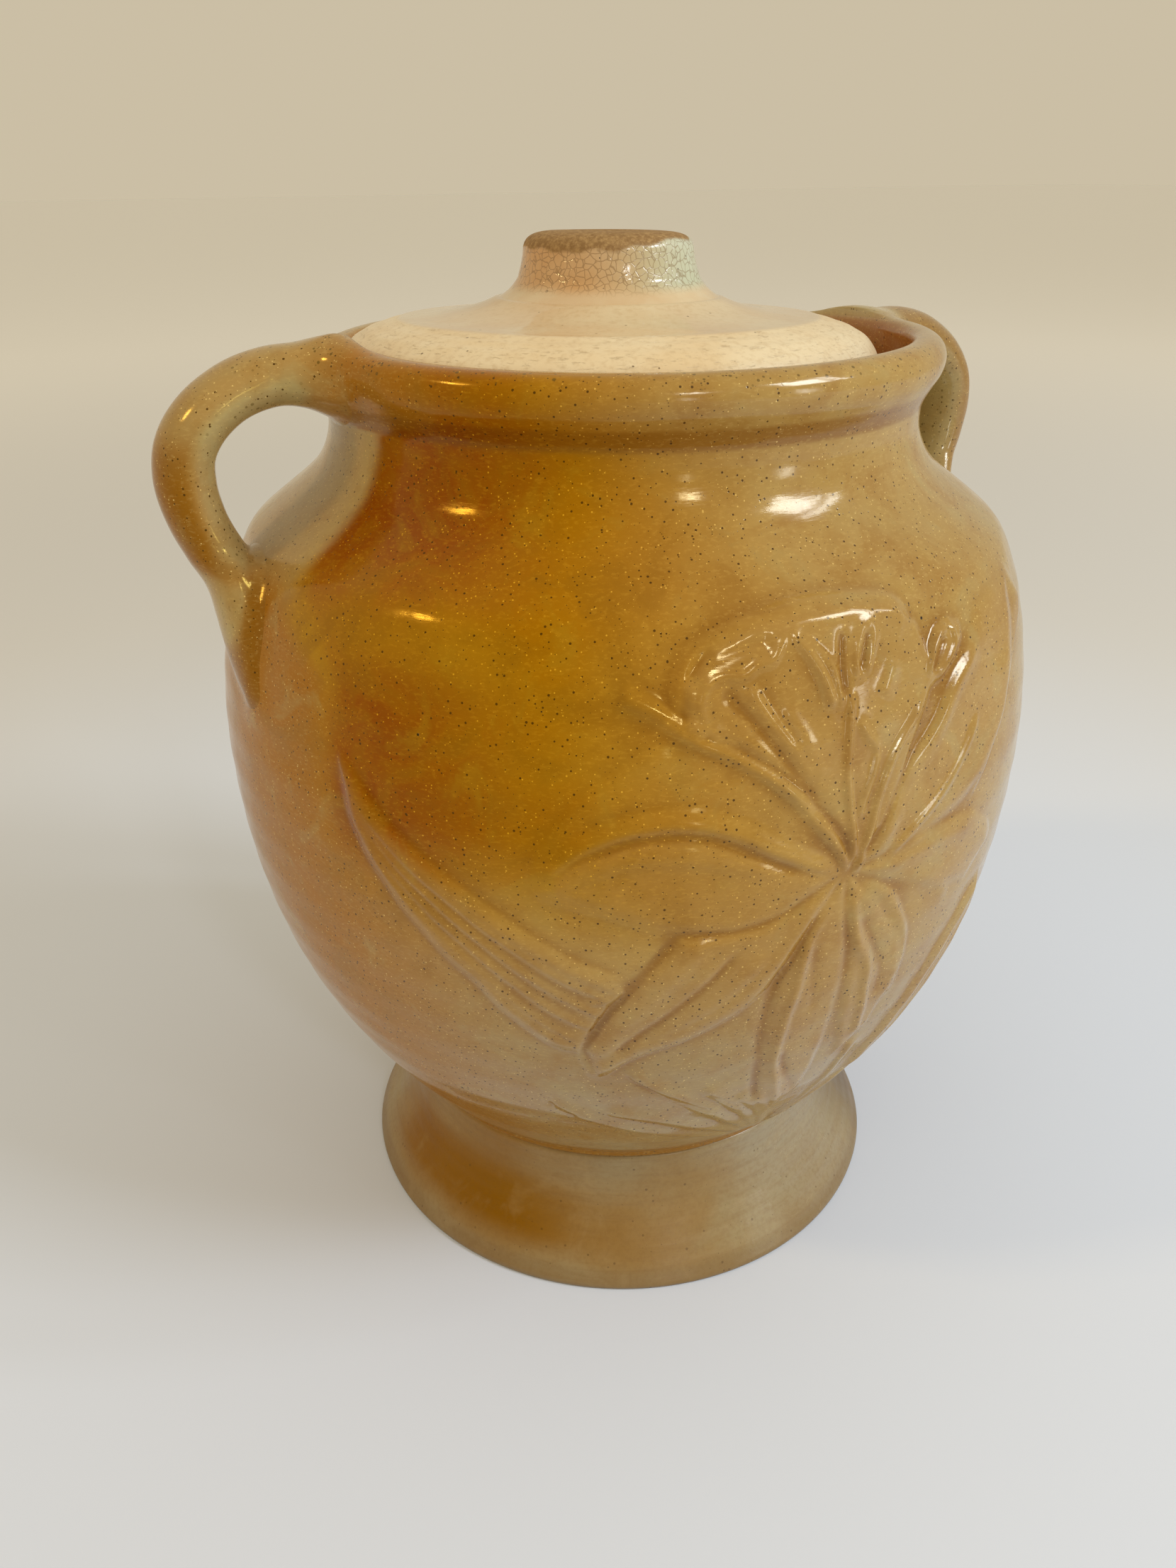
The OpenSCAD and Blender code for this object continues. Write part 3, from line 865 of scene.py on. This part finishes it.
def make_handle(side):
    points, quads = surface_net(handle_field, *HANDLE_ROOM, HANDLE_STEP)
    _, over_inside = handle_distance(points)
    dent = 0.12 * ripple(31, 6, points[:, 0] / 7, points[:, 1] / 7, points[:, 2] / 7)
    clear = smooth(jar_distance(points), 2, 7)
    points = points + gradient(handle_field, points) * (dent * clear)[:, None]
    placed = placed_handle(points, side)
    if side < 0:
        quads = quads[:, ::-1]
    degrees = np.degrees(np.arctan2(placed[:, 0], -placed[:, 1]))
    r = np.hypot(placed[:, 0], placed[:, 1])
    placed[:, 2] += rim_shift(degrees, placed[:, 2]) * (1 - smooth(r, 64, 80))
    strap, _ = handle_distance(points)
    z = placed[:, 2]
    on_strap = 1 - smooth(strap, 0.2, 1.2)
    loop = smooth(r, 64, 70) * smooth(z, 160, 166) * on_strap
    inner = smooth(over_inside, -0.3, 0.5) * loop
    tail = 1 - smooth(z, 160, 166)
    seam = 0.9 * smooth(strap, 0.1, 0.8) * tail
    grey = np.maximum(0.55 * loop * smooth(z, 178, 190) + 0.8 * inner, 0.7 * tail * on_strap)
    masks = glaze_masks(degrees, r, z, seam, grey)
    masks["grey"] = np.minimum(masks["grey"], 1 - seam)
    masks["crest"] = np.maximum(masks["crest"], 0.8 * inner + 0.3 * tail * on_strap)
    # Painted shade on the right handle: its loop is darkened and turned olive.
    if side > 0:
        masks["pool_and_shade"] = np.maximum(masks["pool_and_shade"], 0.75 * loop * (1 - 0.5 * inner))
        masks["grey"] = np.maximum(masks["grey"], 0.3 * loop)
    else:
        outer_low = (1 - inner) * (1 - smooth(z, 182, 193))
        masks["pool_and_shade"] = np.maximum(masks["pool_and_shade"], 0.75 * loop * outer_low)
    masks["inside"] = np.zeros(len(placed))
    masks["leafy"] = np.zeros(len(placed))
    name = "pulled_handle_left" if side < 0 else "pulled_handle_right"
    return build_mesh(name, placed, [quads], masks)


def make_foot():
    outside = np.vstack([
        [[FOOT_R - 0.8, 0], [FOOT_R - 0.2, 0.25]],
        cubic((FOOT_R, 0.8), (FOOT_R - 4.5, 8.5), (WAIST_R, 14.5), (WAIST_R, JOINT_Z - 5.5)),
        [[WAIST_R + 0.2, JOINT_Z - 0.7], [WAIST_R - 0.1, JOINT_Z - 0.2], [WAIST_R - 0.5, JOINT_Z]],
    ])
    inside = cubic((WAIST_R - 8.2, JOINT_Z), (WAIST_R - 8, 16), (FOOT_R - 11, 8), (FOOT_R - 8, 0.1))
    line = np.vstack([evenly(outside, 0.7), evenly(inside, 1.6), [[FOOT_R - 7, 0], [FOOT_R - 0.8, 0]]])

    def push(degrees, r, z):
        wobble = 0.14 * round_ripple(8, 6, degrees, z, 33, 9)
        wheel = 0.04 * np.sin(z / 0.55 + 0.5 * np.sin(np.radians(degrees)))
        return (wobble + wheel) * smooth(z, 0.3, 3) * (1 - smooth(z, JOINT_Z - 2, JOINT_Z - 0.6))

    def masks(degrees, r, z):
        around = from_centre(degrees) + 8 * round_ripple(14, 5, degrees, z, 30, 12)
        patch = smooth(around, -110, -80) * (1 - smooth(around, -48, -12))
        return {"amber": patch * smooth(z, 3, 10) * (1 - 0.4 * smooth(z, 16, 24)),
                "edge": 1 - smooth(z, 2.0, 5.5),
                "sheen": smooth(around, -6, 14) * (1 - smooth(around, 24, 44)),
                "shade": smooth(around, 26, 56) * (1 - smooth(around, 120, 150))}

    return turn("foot_ring", line, 480, push, masks)


# ---------------------------------------------------------------- lid and knob
def lid_lean(degrees, z, x, y):
    """How far the leaning lid is raised or lowered at each place."""
    return LID_LEAN[0] * x + LID_LEAN[1] * y


def make_lid():
    upper = np.vstack([
        [[LID_R - 0.3, LEDGE_Z + 0.1], [LID_R - 0.1, LEDGE_Z + 0.6], [LID_R, LEDGE_Z + 2.2],
         [LID_R - 0.4, LEDGE_Z + 4]],
        cubic((LID_R - 0.8, LEDGE_Z + 5), (LID_R - 3, RIDGE_Z - 1.8), (RIDGE_R + 4, RIDGE_Z - 1.2),
              (RIDGE_R, RIDGE_Z)),
        cubic((RIDGE_R - 1, RIDGE_Z + 0.1), (35, RIDGE_Z + 0.2), (27, PAD_Z - 2.4), (PAD_R, PAD_Z)),
        [[PAD_R - 3, PAD_Z + 0.1], [0, PAD_Z + 0.1]],
    ])
    under = np.vstack([
        cubic((0, PAD_Z - 6), (30, PAD_Z - 6.2), (42.5, LEDGE_Z + 6), (COLLAR_IN, LEDGE_Z - 1)),
        [[COLLAR_IN, LEDGE_Z - 5.2], [44, LEDGE_Z - 5.8], [45.9, LEDGE_Z - 5.8],
         [COLLAR_R, LEDGE_Z - 5], [COLLAR_R, LEDGE_Z], [LID_R - 0.3, LEDGE_Z]],
    ])
    below = evenly(under[::-1], 1.5)[::-1]
    whole = np.vstack([below[:-1], evenly(upper, 0.6)])

    def push(degrees, r, z):
        top = (z > LEDGE_Z + 0.5) & (r > 16)
        wobble = 0.10 * round_ripple(21, 6, degrees, r, 38, 9)
        pits = 0.05 * np.sin(r / 0.5 + np.sin(np.radians(degrees * 2)))
        bevel = smooth(r, RIDGE_R - 1, RIDGE_R + 2)
        return np.where(top, wobble + pits * bevel, 0)

    def masks(degrees, r, z):
        return {"bevel": smooth(r, RIDGE_R - 0.8, RIDGE_R + 1.0) * smooth(z, LEDGE_Z, LEDGE_Z + 3)}

    return turn("cream_lid", whole, 420, push, masks, LID_CENTRE, lid_lean)


def make_knob():
    line = np.vstack([
        [[0, PAD_Z - 0.9], [PAD_R + 0.4, PAD_Z - 0.9]],
        cubic((PAD_R + 1.0, PAD_Z - 0.75), (PAD_R - 0.6, PAD_Z - 0.1), (KNOB_R + 2.2, PAD_Z + 1.3),
              (KNOB_R + 0.9, PAD_Z + 3.6)),
        cubic((KNOB_R + 0.8, PAD_Z + 4.0), (KNOB_R + 0.3, PAD_Z + 5.6), (KNOB_R - 0.1, KNOB_Z - 5.0),
              (KNOB_R - 0.2, KNOB_Z - 3.0)),
        cubic((KNOB_R - 0.3, KNOB_Z - 2.7), (KNOB_R - 0.7, KNOB_Z - 0.9), (KNOB_R - 2.4, KNOB_Z - 0.2),
              (KNOB_R - 5.5, KNOB_Z)),
        [[KNOB_R - 7, KNOB_Z - 0.05], [KNOB_R - 10, KNOB_Z - 0.3], [0, KNOB_Z - 0.45]],
    ])
    line = evenly(line, 0.4)

    def push(degrees, r, z):
        return 0.12 * round_ripple(41, 6, degrees, z, 45, 4) * smooth(z, PAD_Z + 0.5, PAD_Z + 3)

    def masks(degrees, r, z):
        drift = 0.4 * round_ripple(42, 5, degrees, 0, 27, 1) + 0.35 * round_ripple(43, 6, degrees, z, 6, 2)
        left = -np.sin(np.radians(degrees - 15))
        return {"bare": smooth(z + drift + 0.9 * left, KNOB_Z - 2.1, KNOB_Z - 1.5),
                "crackle": smooth(z, PAD_Z + 1.2, PAD_Z + 3.4), "bevel": 0 * z}

    return turn("turned_knob", line, 360, push, masks, LID_CENTRE, lid_lean)


# ---------------------------------------------------------------- materials
class Nodes:
    """Short ways to add and join shader nodes."""

    def __init__(self, name):
        self.material = bpy.data.materials.new(name)
        self.material.use_nodes = True
        self.tree = self.material.node_tree
        self.shader = self.tree.nodes["Principled BSDF"]
        self.place = self.tree.nodes.new("ShaderNodeTexCoord").outputs["Object"]

    def add(self, kind, settings=None, **inputs):
        node = self.tree.nodes.new(kind)
        for key, value in (settings or {}).items():
            setattr(node, key, value)
        for key, value in inputs.items():
            self.put(node.inputs[key.replace("_", " ")], value)
        return node

    def put(self, socket, value):
        if isinstance(value, bpy.types.NodeSocket):
            self.tree.links.new(value, socket)
        else:
            socket.default_value = value

    def math(self, operation, a, b):
        node = self.tree.nodes.new("ShaderNodeMath")
        node.operation = operation
        self.put(node.inputs[0], a)
        self.put(node.inputs[1], b)
        return node.outputs[0]

    def times(self, a, b):
        return self.math("MULTIPLY", a, b)

    def plus(self, a, b):
        return self.math("ADD", a, b)

    def minus(self, a, b):
        return self.math("SUBTRACT", a, b)

    def band(self, value, low, high, out_low=0.0, out_high=1.0):
        node = self.add("ShaderNodeMapRange", {"interpolation_type": "SMOOTHSTEP"},
                        Value=value, From_Min=low, From_Max=high, To_Min=out_low, To_Max=out_high)
        return node.outputs["Result"]

    def mix(self, factor, a, b, blend="MIX"):
        node = self.tree.nodes.new("ShaderNodeMix")
        node.data_type = "RGBA"
        node.blend_type = blend
        self.put(node.inputs[0], factor)
        self.put(node.inputs[6], a)
        self.put(node.inputs[7], b)
        return node.outputs[2]

    def noise(self, scale, detail=3.0, rough=0.5, place=None, distortion=0.0):
        node = self.add("ShaderNodeTexNoise", Vector=place or self.place, Scale=scale, Detail=detail,
                        Roughness=rough, Distortion=distortion)
        return node.outputs["Fac"]

    def stretched(self, x, y, z):
        node = self.tree.nodes.new("ShaderNodeMapping")
        self.put(node.inputs["Vector"], self.place)
        node.inputs["Scale"].default_value = (x, y, z)
        return node.outputs["Vector"]

    def specks(self, scale, small, large, share):
        """Round spots of mixed sizes, one at most in each cell, in that share of the cells."""
        node = self.add("ShaderNodeTexVoronoi", Vector=self.place, Scale=scale, Randomness=1.0)
        split = self.add("ShaderNodeSeparateColor", Color=node.outputs["Color"])
        chance = self.math("POWER", split.outputs[0], 3.0)
        size = self.band(chance, 0, 1, small, large)
        spot = self.math("LESS_THAN", node.outputs["Distance"], size)
        picked = self.math("LESS_THAN", split.outputs[1], share)
        soft = self.band(self.math("DIVIDE", node.outputs["Distance"], size), 0.7, 1.05, 1, 0)
        return self.times(self.times(spot, soft), picked)

    def mask(self, name):
        return self.add("ShaderNodeAttribute", {"attribute_name": name}).outputs["Fac"]

    def bump(self, height, distance, strength):
        node = self.add("ShaderNodeBump", Height=height, Distance=distance, Strength=strength)
        return node.outputs["Normal"]

    def finish(self, colour, roughness, normal):
        self.put(self.shader.inputs["Base Color"], colour)
        self.put(self.shader.inputs["Roughness"], roughness)
        self.put(self.shader.inputs["Normal"], normal)
        self.shader.inputs["IOR"].default_value = 1.52
        return self.material


def linear(red, green, blue):
    """A colour given as it looks on screen, 0 to 255, as scene-linear light."""
    def one(c):
        c /= 255
        return c / 12.92 if c <= 0.04045 else ((c + 0.055) / 1.055) ** 2.4

    return (one(red), one(green), one(blue), 1.0)


def amber_glaze():
    n = Nodes("amber_speckled_glaze")
    cloud = n.noise(24, 4, 0.55)
    patch = n.noise(75, 5, 0.6, distortion=0.8)
    mottle = n.noise(190, 4, 0.6)
    fine = n.noise(900, 3, 0.6, n.stretched(1, 1, 2.5))
    base = n.mix(n.band(cloud, 0.35, 0.65), linear(168, 132, 64), linear(176, 145, 86))
    # Pale on the right is partly a painted reflection of the window.
    base = n.mix(n.mask("pale"), base, n.mix(cloud, linear(158, 128, 78), linear(164, 141, 96)))
    # Rose is partly a painted warm reflection.
    base = n.mix(n.mask("rose"), base, n.mix(cloud, linear(158, 98, 8), linear(166, 111, 24)))
    # The amber is partly painted warm shade and reflection on the left.
    amber = n.mask("amber")
    golden = n.mix(n.band(cloud, 0.38, 0.64), linear(163, 108, 2), linear(175, 128, 16))
    # The deep colour is partly painted shade on the left.
    deep = n.mix(n.band(patch, 0.40, 0.62), linear(137, 63, 0), linear(151, 85, 0))
    colour = n.mix(amber, base, golden)
    colour = n.mix(n.mask("deep"), colour, deep)
    colour = n.mix(n.times(n.mask("leafy"), 0.4), colour, linear(170, 132, 72))
    brown = n.mix(amber, linear(150, 106, 40), linear(140, 92, 6))
    olive = n.mix(amber, linear(172, 152, 98), linear(168, 128, 22))
    colour = n.mix(n.band(patch, 0.48, 0.66, 0.0, 0.46), colour, brown)
    colour = n.mix(n.band(patch, 0.46, 0.30, 0.0, 0.42), colour, olive)
    # Grey glaze on the handles, and painted shadow and reflection of the handles on the jar beside them.
    colour = n.mix(n.times(n.mask("grey"), 0.8), colour, linear(182, 170, 120))
    colour = n.mix(n.mask("hem"), colour, n.mix(cloud, linear(140, 88, 12), linear(156, 108, 34)))
    # The dark colour of pooled glaze, also used as painted shade.
    pool_and_shade_colour = n.mix(n.mask("deep"), linear(132, 84, 16), linear(116, 54, 0))
    colour = n.mix(n.band(n.mask("pool_and_shade"), 0.05, 0.95, 0.0, 0.74), colour, pool_and_shade_colour)
    high = n.times(n.mask("pool_and_shade"), -1.0)
    colour = n.mix(n.band(high, 0.1, 0.9, 0.0, 0.18), colour, linear(200, 166, 100))
    colour = n.mix(n.times(n.mask("inside"), 0.9), colour, linear(150, 92, 44))
    sparkle = n.mix(amber, linear(236, 206, 130), linear(236, 178, 40))
    colour = n.mix(n.band(mottle, 0.42, 0.72, 0.0, 0.32), colour, brown)
    colour = n.mix(n.band(fine, 0.5, 0.72, 0.0, 0.14), colour, sparkle)
    iron = n.specks(1150, 0.10, 0.29, 0.95)
    pale = n.specks(1500, 0.09, 0.26, 0.7)
    pits = n.specks(170, 0.02, 0.06, 0.9)
    crest = n.times(n.specks(950, 0.12, 0.36, 0.95), n.mask("crest"))
    colour = n.mix(n.times(pale, 0.7), colour, sparkle)
    colour = n.mix(n.times(iron, 0.9), colour, linear(64, 36, 4))
    colour = n.mix(n.times(crest, 0.7), colour, linear(84, 66, 22))
    colour = n.mix(pits, colour, linear(30, 18, 8))
    wheel = n.noise(70, 4, 0.6, n.stretched(1, 1, 9))
    height = n.plus(n.noise(95, 2, 0.4), n.times(wheel, 0.22))
    height = n.plus(height, n.times(n.noise(600, 2, 0.5), 0.06))
    height = n.minus(height, n.times(iron, 0.08))
    height = n.minus(height, n.times(pits, 0.5))
    warm = n.mix(n.mask("rose"), (1.0, 0.96, 0.84, 1.0), (1.0, 0.72, 0.16, 1.0))
    warm = n.mix(n.math("MAXIMUM", amber, n.mask("deep")), warm, (1.0, 0.66, 0.06, 1.0))
    n.put(n.shader.inputs["Specular Tint"], warm)
    return n.finish(colour, n.band(mottle, 0.3, 0.7, 0.10, 0.17), n.bump(height, 0.0004, 0.5))


def foot_glaze():
    n = Nodes("satin_foot_glaze")
    cloud = n.noise(30, 4, 0.55)
    patch = n.noise(80, 5, 0.6, distortion=0.8)
    fine = n.noise(900, 3, 0.6)
    wheel = n.noise(60, 4, 0.6, n.stretched(1, 1, 14))
    colour = n.mix(n.band(cloud, 0.35, 0.68), linear(148, 116, 62), linear(158, 139, 98))
    colour = n.mix(n.mask("amber"), colour, n.mix(cloud, linear(126, 76, 0), linear(146, 100, 14)))
    colour = n.mix(n.times(n.mask("sheen"), 0.6), colour, linear(160, 149, 124))
    colour = n.mix(n.times(n.mask("shade"), 0.9), colour, linear(96, 74, 40))
    colour = n.mix(n.times(n.mask("edge"), 0.6), colour, linear(128, 104, 66))
    colour = n.mix(n.band(patch, 0.5, 0.72, 0, 0.2), colour, linear(180, 154, 108))
    colour = n.mix(n.band(wheel, 0.45, 0.8, 0, 0.25), colour, linear(122, 82, 28))
    colour = n.mix(n.band(fine, 0.4, 0.7, 0.0, 0.2), colour, linear(118, 82, 34))
    dots = n.specks(800, 0.10, 0.28, 0.3)
    colour = n.mix(n.times(dots, 0.5), colour, linear(80, 50, 16))
    height = n.plus(n.times(fine, 0.3), n.times(wheel, 0.5))
    height = n.plus(height, n.times(patch, 0.5))
    warm = n.mix(n.mask("amber"), (1.0, 0.97, 0.92, 1.0), (1.0, 0.66, 0.08, 1.0))
    n.put(n.shader.inputs["Specular Tint"], warm)
    rough = n.times(n.band(patch, 0.3, 0.7, 0.28, 0.42), n.band(n.mask("sheen"), 0, 1, 1, 0.7))
    return n.finish(colour, rough, n.bump(height, 0.0003, 0.4))


def side_mix(n, left, right):
    """A colour that drifts from the left of the lid to its right."""
    split = n.add("ShaderNodeSeparateXYZ", Vector=n.place)
    along = n.minus(n.times(split.outputs[0], 0.9), n.times(split.outputs[1], 0.1))
    return n.mix(n.band(along, -0.016, 0.010), left, right)


def cream_glaze():
    n = Nodes("cream_lid_glaze")
    cloud = n.noise(34, 4, 0.55)
    fine = n.noise(800, 3, 0.6)
    streak = n.noise(420, 4, 0.65, n.stretched(1, 1, 8))
    bevel = n.mask("bevel")
    brim = n.mix(n.band(cloud, 0.35, 0.68), linear(212, 184, 144), linear(222, 206, 172))
    slope = n.mix(n.band(cloud, 0.35, 0.68), linear(228, 204, 162), linear(236, 220, 186))
    colour = n.mix(bevel, brim, slope)
    colour = n.mix(n.band(fine, 0.45, 0.7, 0, 0.3), colour, linear(190, 160, 116))
    marks = n.times(n.band(streak, 0.57, 0.70), bevel)
    colour = n.mix(n.times(marks, 0.32), colour, linear(160, 130, 84))
    dots = n.specks(520, 0.04, 0.16, 0.4)
    colour = n.mix(n.times(dots, 0.8), colour, linear(96, 72, 40))
    height = n.minus(n.times(n.noise(140, 2, 0.4), 0.8), n.times(marks, 0.5))
    rough = n.band(bevel, 0, 1, 0.10, 0.32)
    n.shader.inputs["Specular Tint"].default_value = (1.0, 0.96, 0.88, 1.0)
    return n.finish(colour, rough, n.bump(height, 0.0003, 0.5))


def knob_glaze():
    n = Nodes("crackled_knob_glaze")
    cloud = n.noise(70, 4, 0.55)
    fine = n.noise(1200, 3, 0.65)
    bent = n.add("ShaderNodeVectorMath", {"operation": "ADD"})
    n.put(bent.inputs[0], n.place)
    sway = n.add("ShaderNodeTexNoise", Vector=n.place, Scale=500.0, Detail=2.0)
    scaled = n.add("ShaderNodeVectorMath", {"operation": "SCALE"}, Scale=0.0009)
    n.put(scaled.inputs[0], sway.outputs["Color"])
    n.put(bent.inputs[1], scaled.outputs["Vector"])
    crack = n.add("ShaderNodeTexVoronoi", {"feature": "DISTANCE_TO_EDGE"},
                  Vector=bent.outputs["Vector"], Scale=720.0).outputs["Distance"]
    lines = n.times(n.band(crack, 0.01, 0.09, 1, 0), n.mask("crackle"))
    left = n.mix(n.band(cloud, 0.35, 0.7), linear(202, 154, 98), linear(210, 172, 124))
    right = n.mix(n.band(cloud, 0.35, 0.7), linear(192, 197, 168), linear(204, 210, 192))
    crackled = side_mix(n, left, right)
    base = n.mix(n.band(cloud, 0.35, 0.68), linear(212, 184, 144), linear(222, 206, 172))
    colour = n.mix(n.mask("crackle"), base, crackled)
    colour = n.mix(n.times(lines, 0.55), colour, linear(128, 98, 58))
    dots = n.specks(520, 0.08, 0.26, 0.35)
    colour = n.mix(n.times(dots, n.times(n.mask("crackle"), 0.9)), colour, linear(58, 38, 20))
    clay = n.mix(n.band(fine, 0.35, 0.7), linear(138, 104, 58), linear(172, 138, 88))
    bare = n.mask("bare")
    colour = n.mix(bare, colour, clay)
    height = n.plus(n.times(lines, -0.25), n.times(fine, 0.3))
    height = n.plus(height, n.times(cloud, 0.8))
    return n.finish(colour, n.band(bare, 0, 1, 0.07, 0.75), n.bump(height, 0.0003, 0.35))


def plain_floor():
    n = Nodes("pale_floor")
    soft = n.noise(3, 3, 0.5)
    reach = n.add("ShaderNodeVectorMath", {"operation": "LENGTH"}, Vector=n.place).outputs["Value"]
    near = n.mix(soft, (0.725, 0.80, 0.96, 1.0), (0.755, 0.83, 0.99, 1.0))
    colour = n.mix(n.band(reach, 0.15, 0.5), near, (0.70, 0.71, 0.73, 1.0))
    colour = n.mix(n.band(reach, 0.5, 1.8), colour, (0.985, 0.985, 0.98, 1.0))
    n.shader.inputs["Specular IOR Level"].default_value = 0.2
    return n.finish(colour, n.band(soft, 0, 1, 0.5, 0.6), n.bump(n.noise(400, 2, 0.5), 0.0001, 0.1))


# ---------------------------------------------------------------- pieces on their bodies
def dress(piece, body, node, material):
    """Gives a piece its body and its material, and hides the CAD node it stands for."""
    piece.data.materials.append(material)
    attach(piece, body)
    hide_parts(node)


glaze = amber_glaze()
dress(make_body(), "crock", "crock_body", glaze)
dress(make_handle(1), "crock", "handle_right", glaze)
dress(make_handle(-1), "crock", "handle_left", glaze)
dress(make_foot(), "crock", "pedestal_foot", foot_glaze())
dress(make_lid(), "lid", "lid", cream_glaze())
dress(make_knob(), "lid", "lid_knob", knob_glaze())


# ---------------------------------------------------------------- floor, light and camera
def make_floor():
    size = 15000.0
    corners = np.array([(-size, -size, 0), (size, -size, 0), (size, size, 0), (-size, size, 0)])
    floor = build_mesh("floor", corners, [np.array([[0, 1, 2, 3]])])
    floor.data.materials.append(plain_floor())


def from_front(azimuth, elevation):
    """Unit direction, in degrees round from the front towards +X and up."""
    a, e = math.radians(azimuth), math.radians(elevation)
    return Vector((math.sin(a) * math.cos(e), -math.cos(a) * math.cos(e), math.sin(e)))


def soft_light(name, azimuth, elevation, distance, width, height, power, colour, mirrored=True):
    """A rectangular lamp that faces the middle of the crock, seen in the glaze or not."""
    data = bpy.data.lights.new(name, "AREA")
    data.shape = "RECTANGLE"
    data.size, data.size_y = width, height
    data.energy = power
    data.color = colour
    lamp = bpy.data.objects.new(name, data)
    aim = Vector((0, 0, 0.12))
    way = from_front(azimuth, elevation)
    lamp.location = aim + way * distance
    lamp.rotation_euler = (-way).to_track_quat("-Z", "Y").to_euler()
    lamp.visible_glossy = mirrored
    bpy.context.collection.objects.link(lamp)


def make_camera():
    """A phone camera held close, a little to the left of the front and looking down."""
    stand = math.radians(27.0)
    distance, height = 252.4, 228.0
    pitch, yaw, roll = math.radians(27.39), math.radians(-1.74), math.radians(0.53)
    turn_to_row = Matrix.Rotation(-stand, 3, "Z")
    forward = Vector((math.sin(yaw) * math.cos(pitch), math.cos(yaw) * math.cos(pitch), -math.sin(pitch)))
    right = Vector((math.cos(yaw), -math.sin(yaw), 0))
    down = forward.cross(right)
    tilted_right = math.cos(roll) * right + math.sin(roll) * down
    tilted_down = -math.sin(roll) * right + math.cos(roll) * down
    columns = [turn_to_row @ v for v in (tilted_right, -tilted_down, -forward)]
    place = turn_to_row @ Vector((0, -distance, height)) * MM
    data = bpy.data.cameras.new("camera")
    data.sensor_width = 36.0
    data.lens = 27.13
    data.clip_start = 0.01
    camera = bpy.data.objects.new("camera", data)
    basis = Matrix(columns).transposed().to_4x4()
    basis.translation = place
    camera.matrix_world = basis
    bpy.context.collection.objects.link(camera)
    bpy.context.scene.camera = camera


def make_world():
    world = bpy.data.worlds.new("room")
    world.use_nodes = True
    backdrop = world.node_tree.nodes["Background"]
    backdrop.inputs["Color"].default_value = (0.665, 0.577, 0.42, 1.0)
    backdrop.inputs["Strength"].default_value = 0.9
    bpy.context.scene.world = world


make_floor()
make_camera()
make_world()
soft_light("window_main", 43, 37, 1.6, 0.42, 0.36, 8.8, (0.90, 0.96, 1.0))
soft_light("window_side", 59, 38, 1.6, 0.11, 0.50, 2.1, (0.92, 0.97, 1.0))
soft_light("window_low", 34, 7, 1.6, 0.12, 0.34, 1.2, (0.92, 0.97, 1.0))
soft_light("window_slit", -5, 7, 1.6, 0.04, 0.26, 0.5, (0.92, 0.97, 1.0))
soft_light("window_far", -2, 29, 1.6, 0.14, 0.12, 1.8, (0.95, 0.98, 1.0))
soft_light("daylight", 50, 48, 1.8, 0.7, 0.7, 0.4, (0.93, 0.97, 1.0), mirrored=False)
soft_light("lamp", -95, 41, 1.6, 0.18, 0.13, 3.2, (1.0, 0.70, 0.30))
bpy.context.scene.view_settings.view_transform = "Standard"
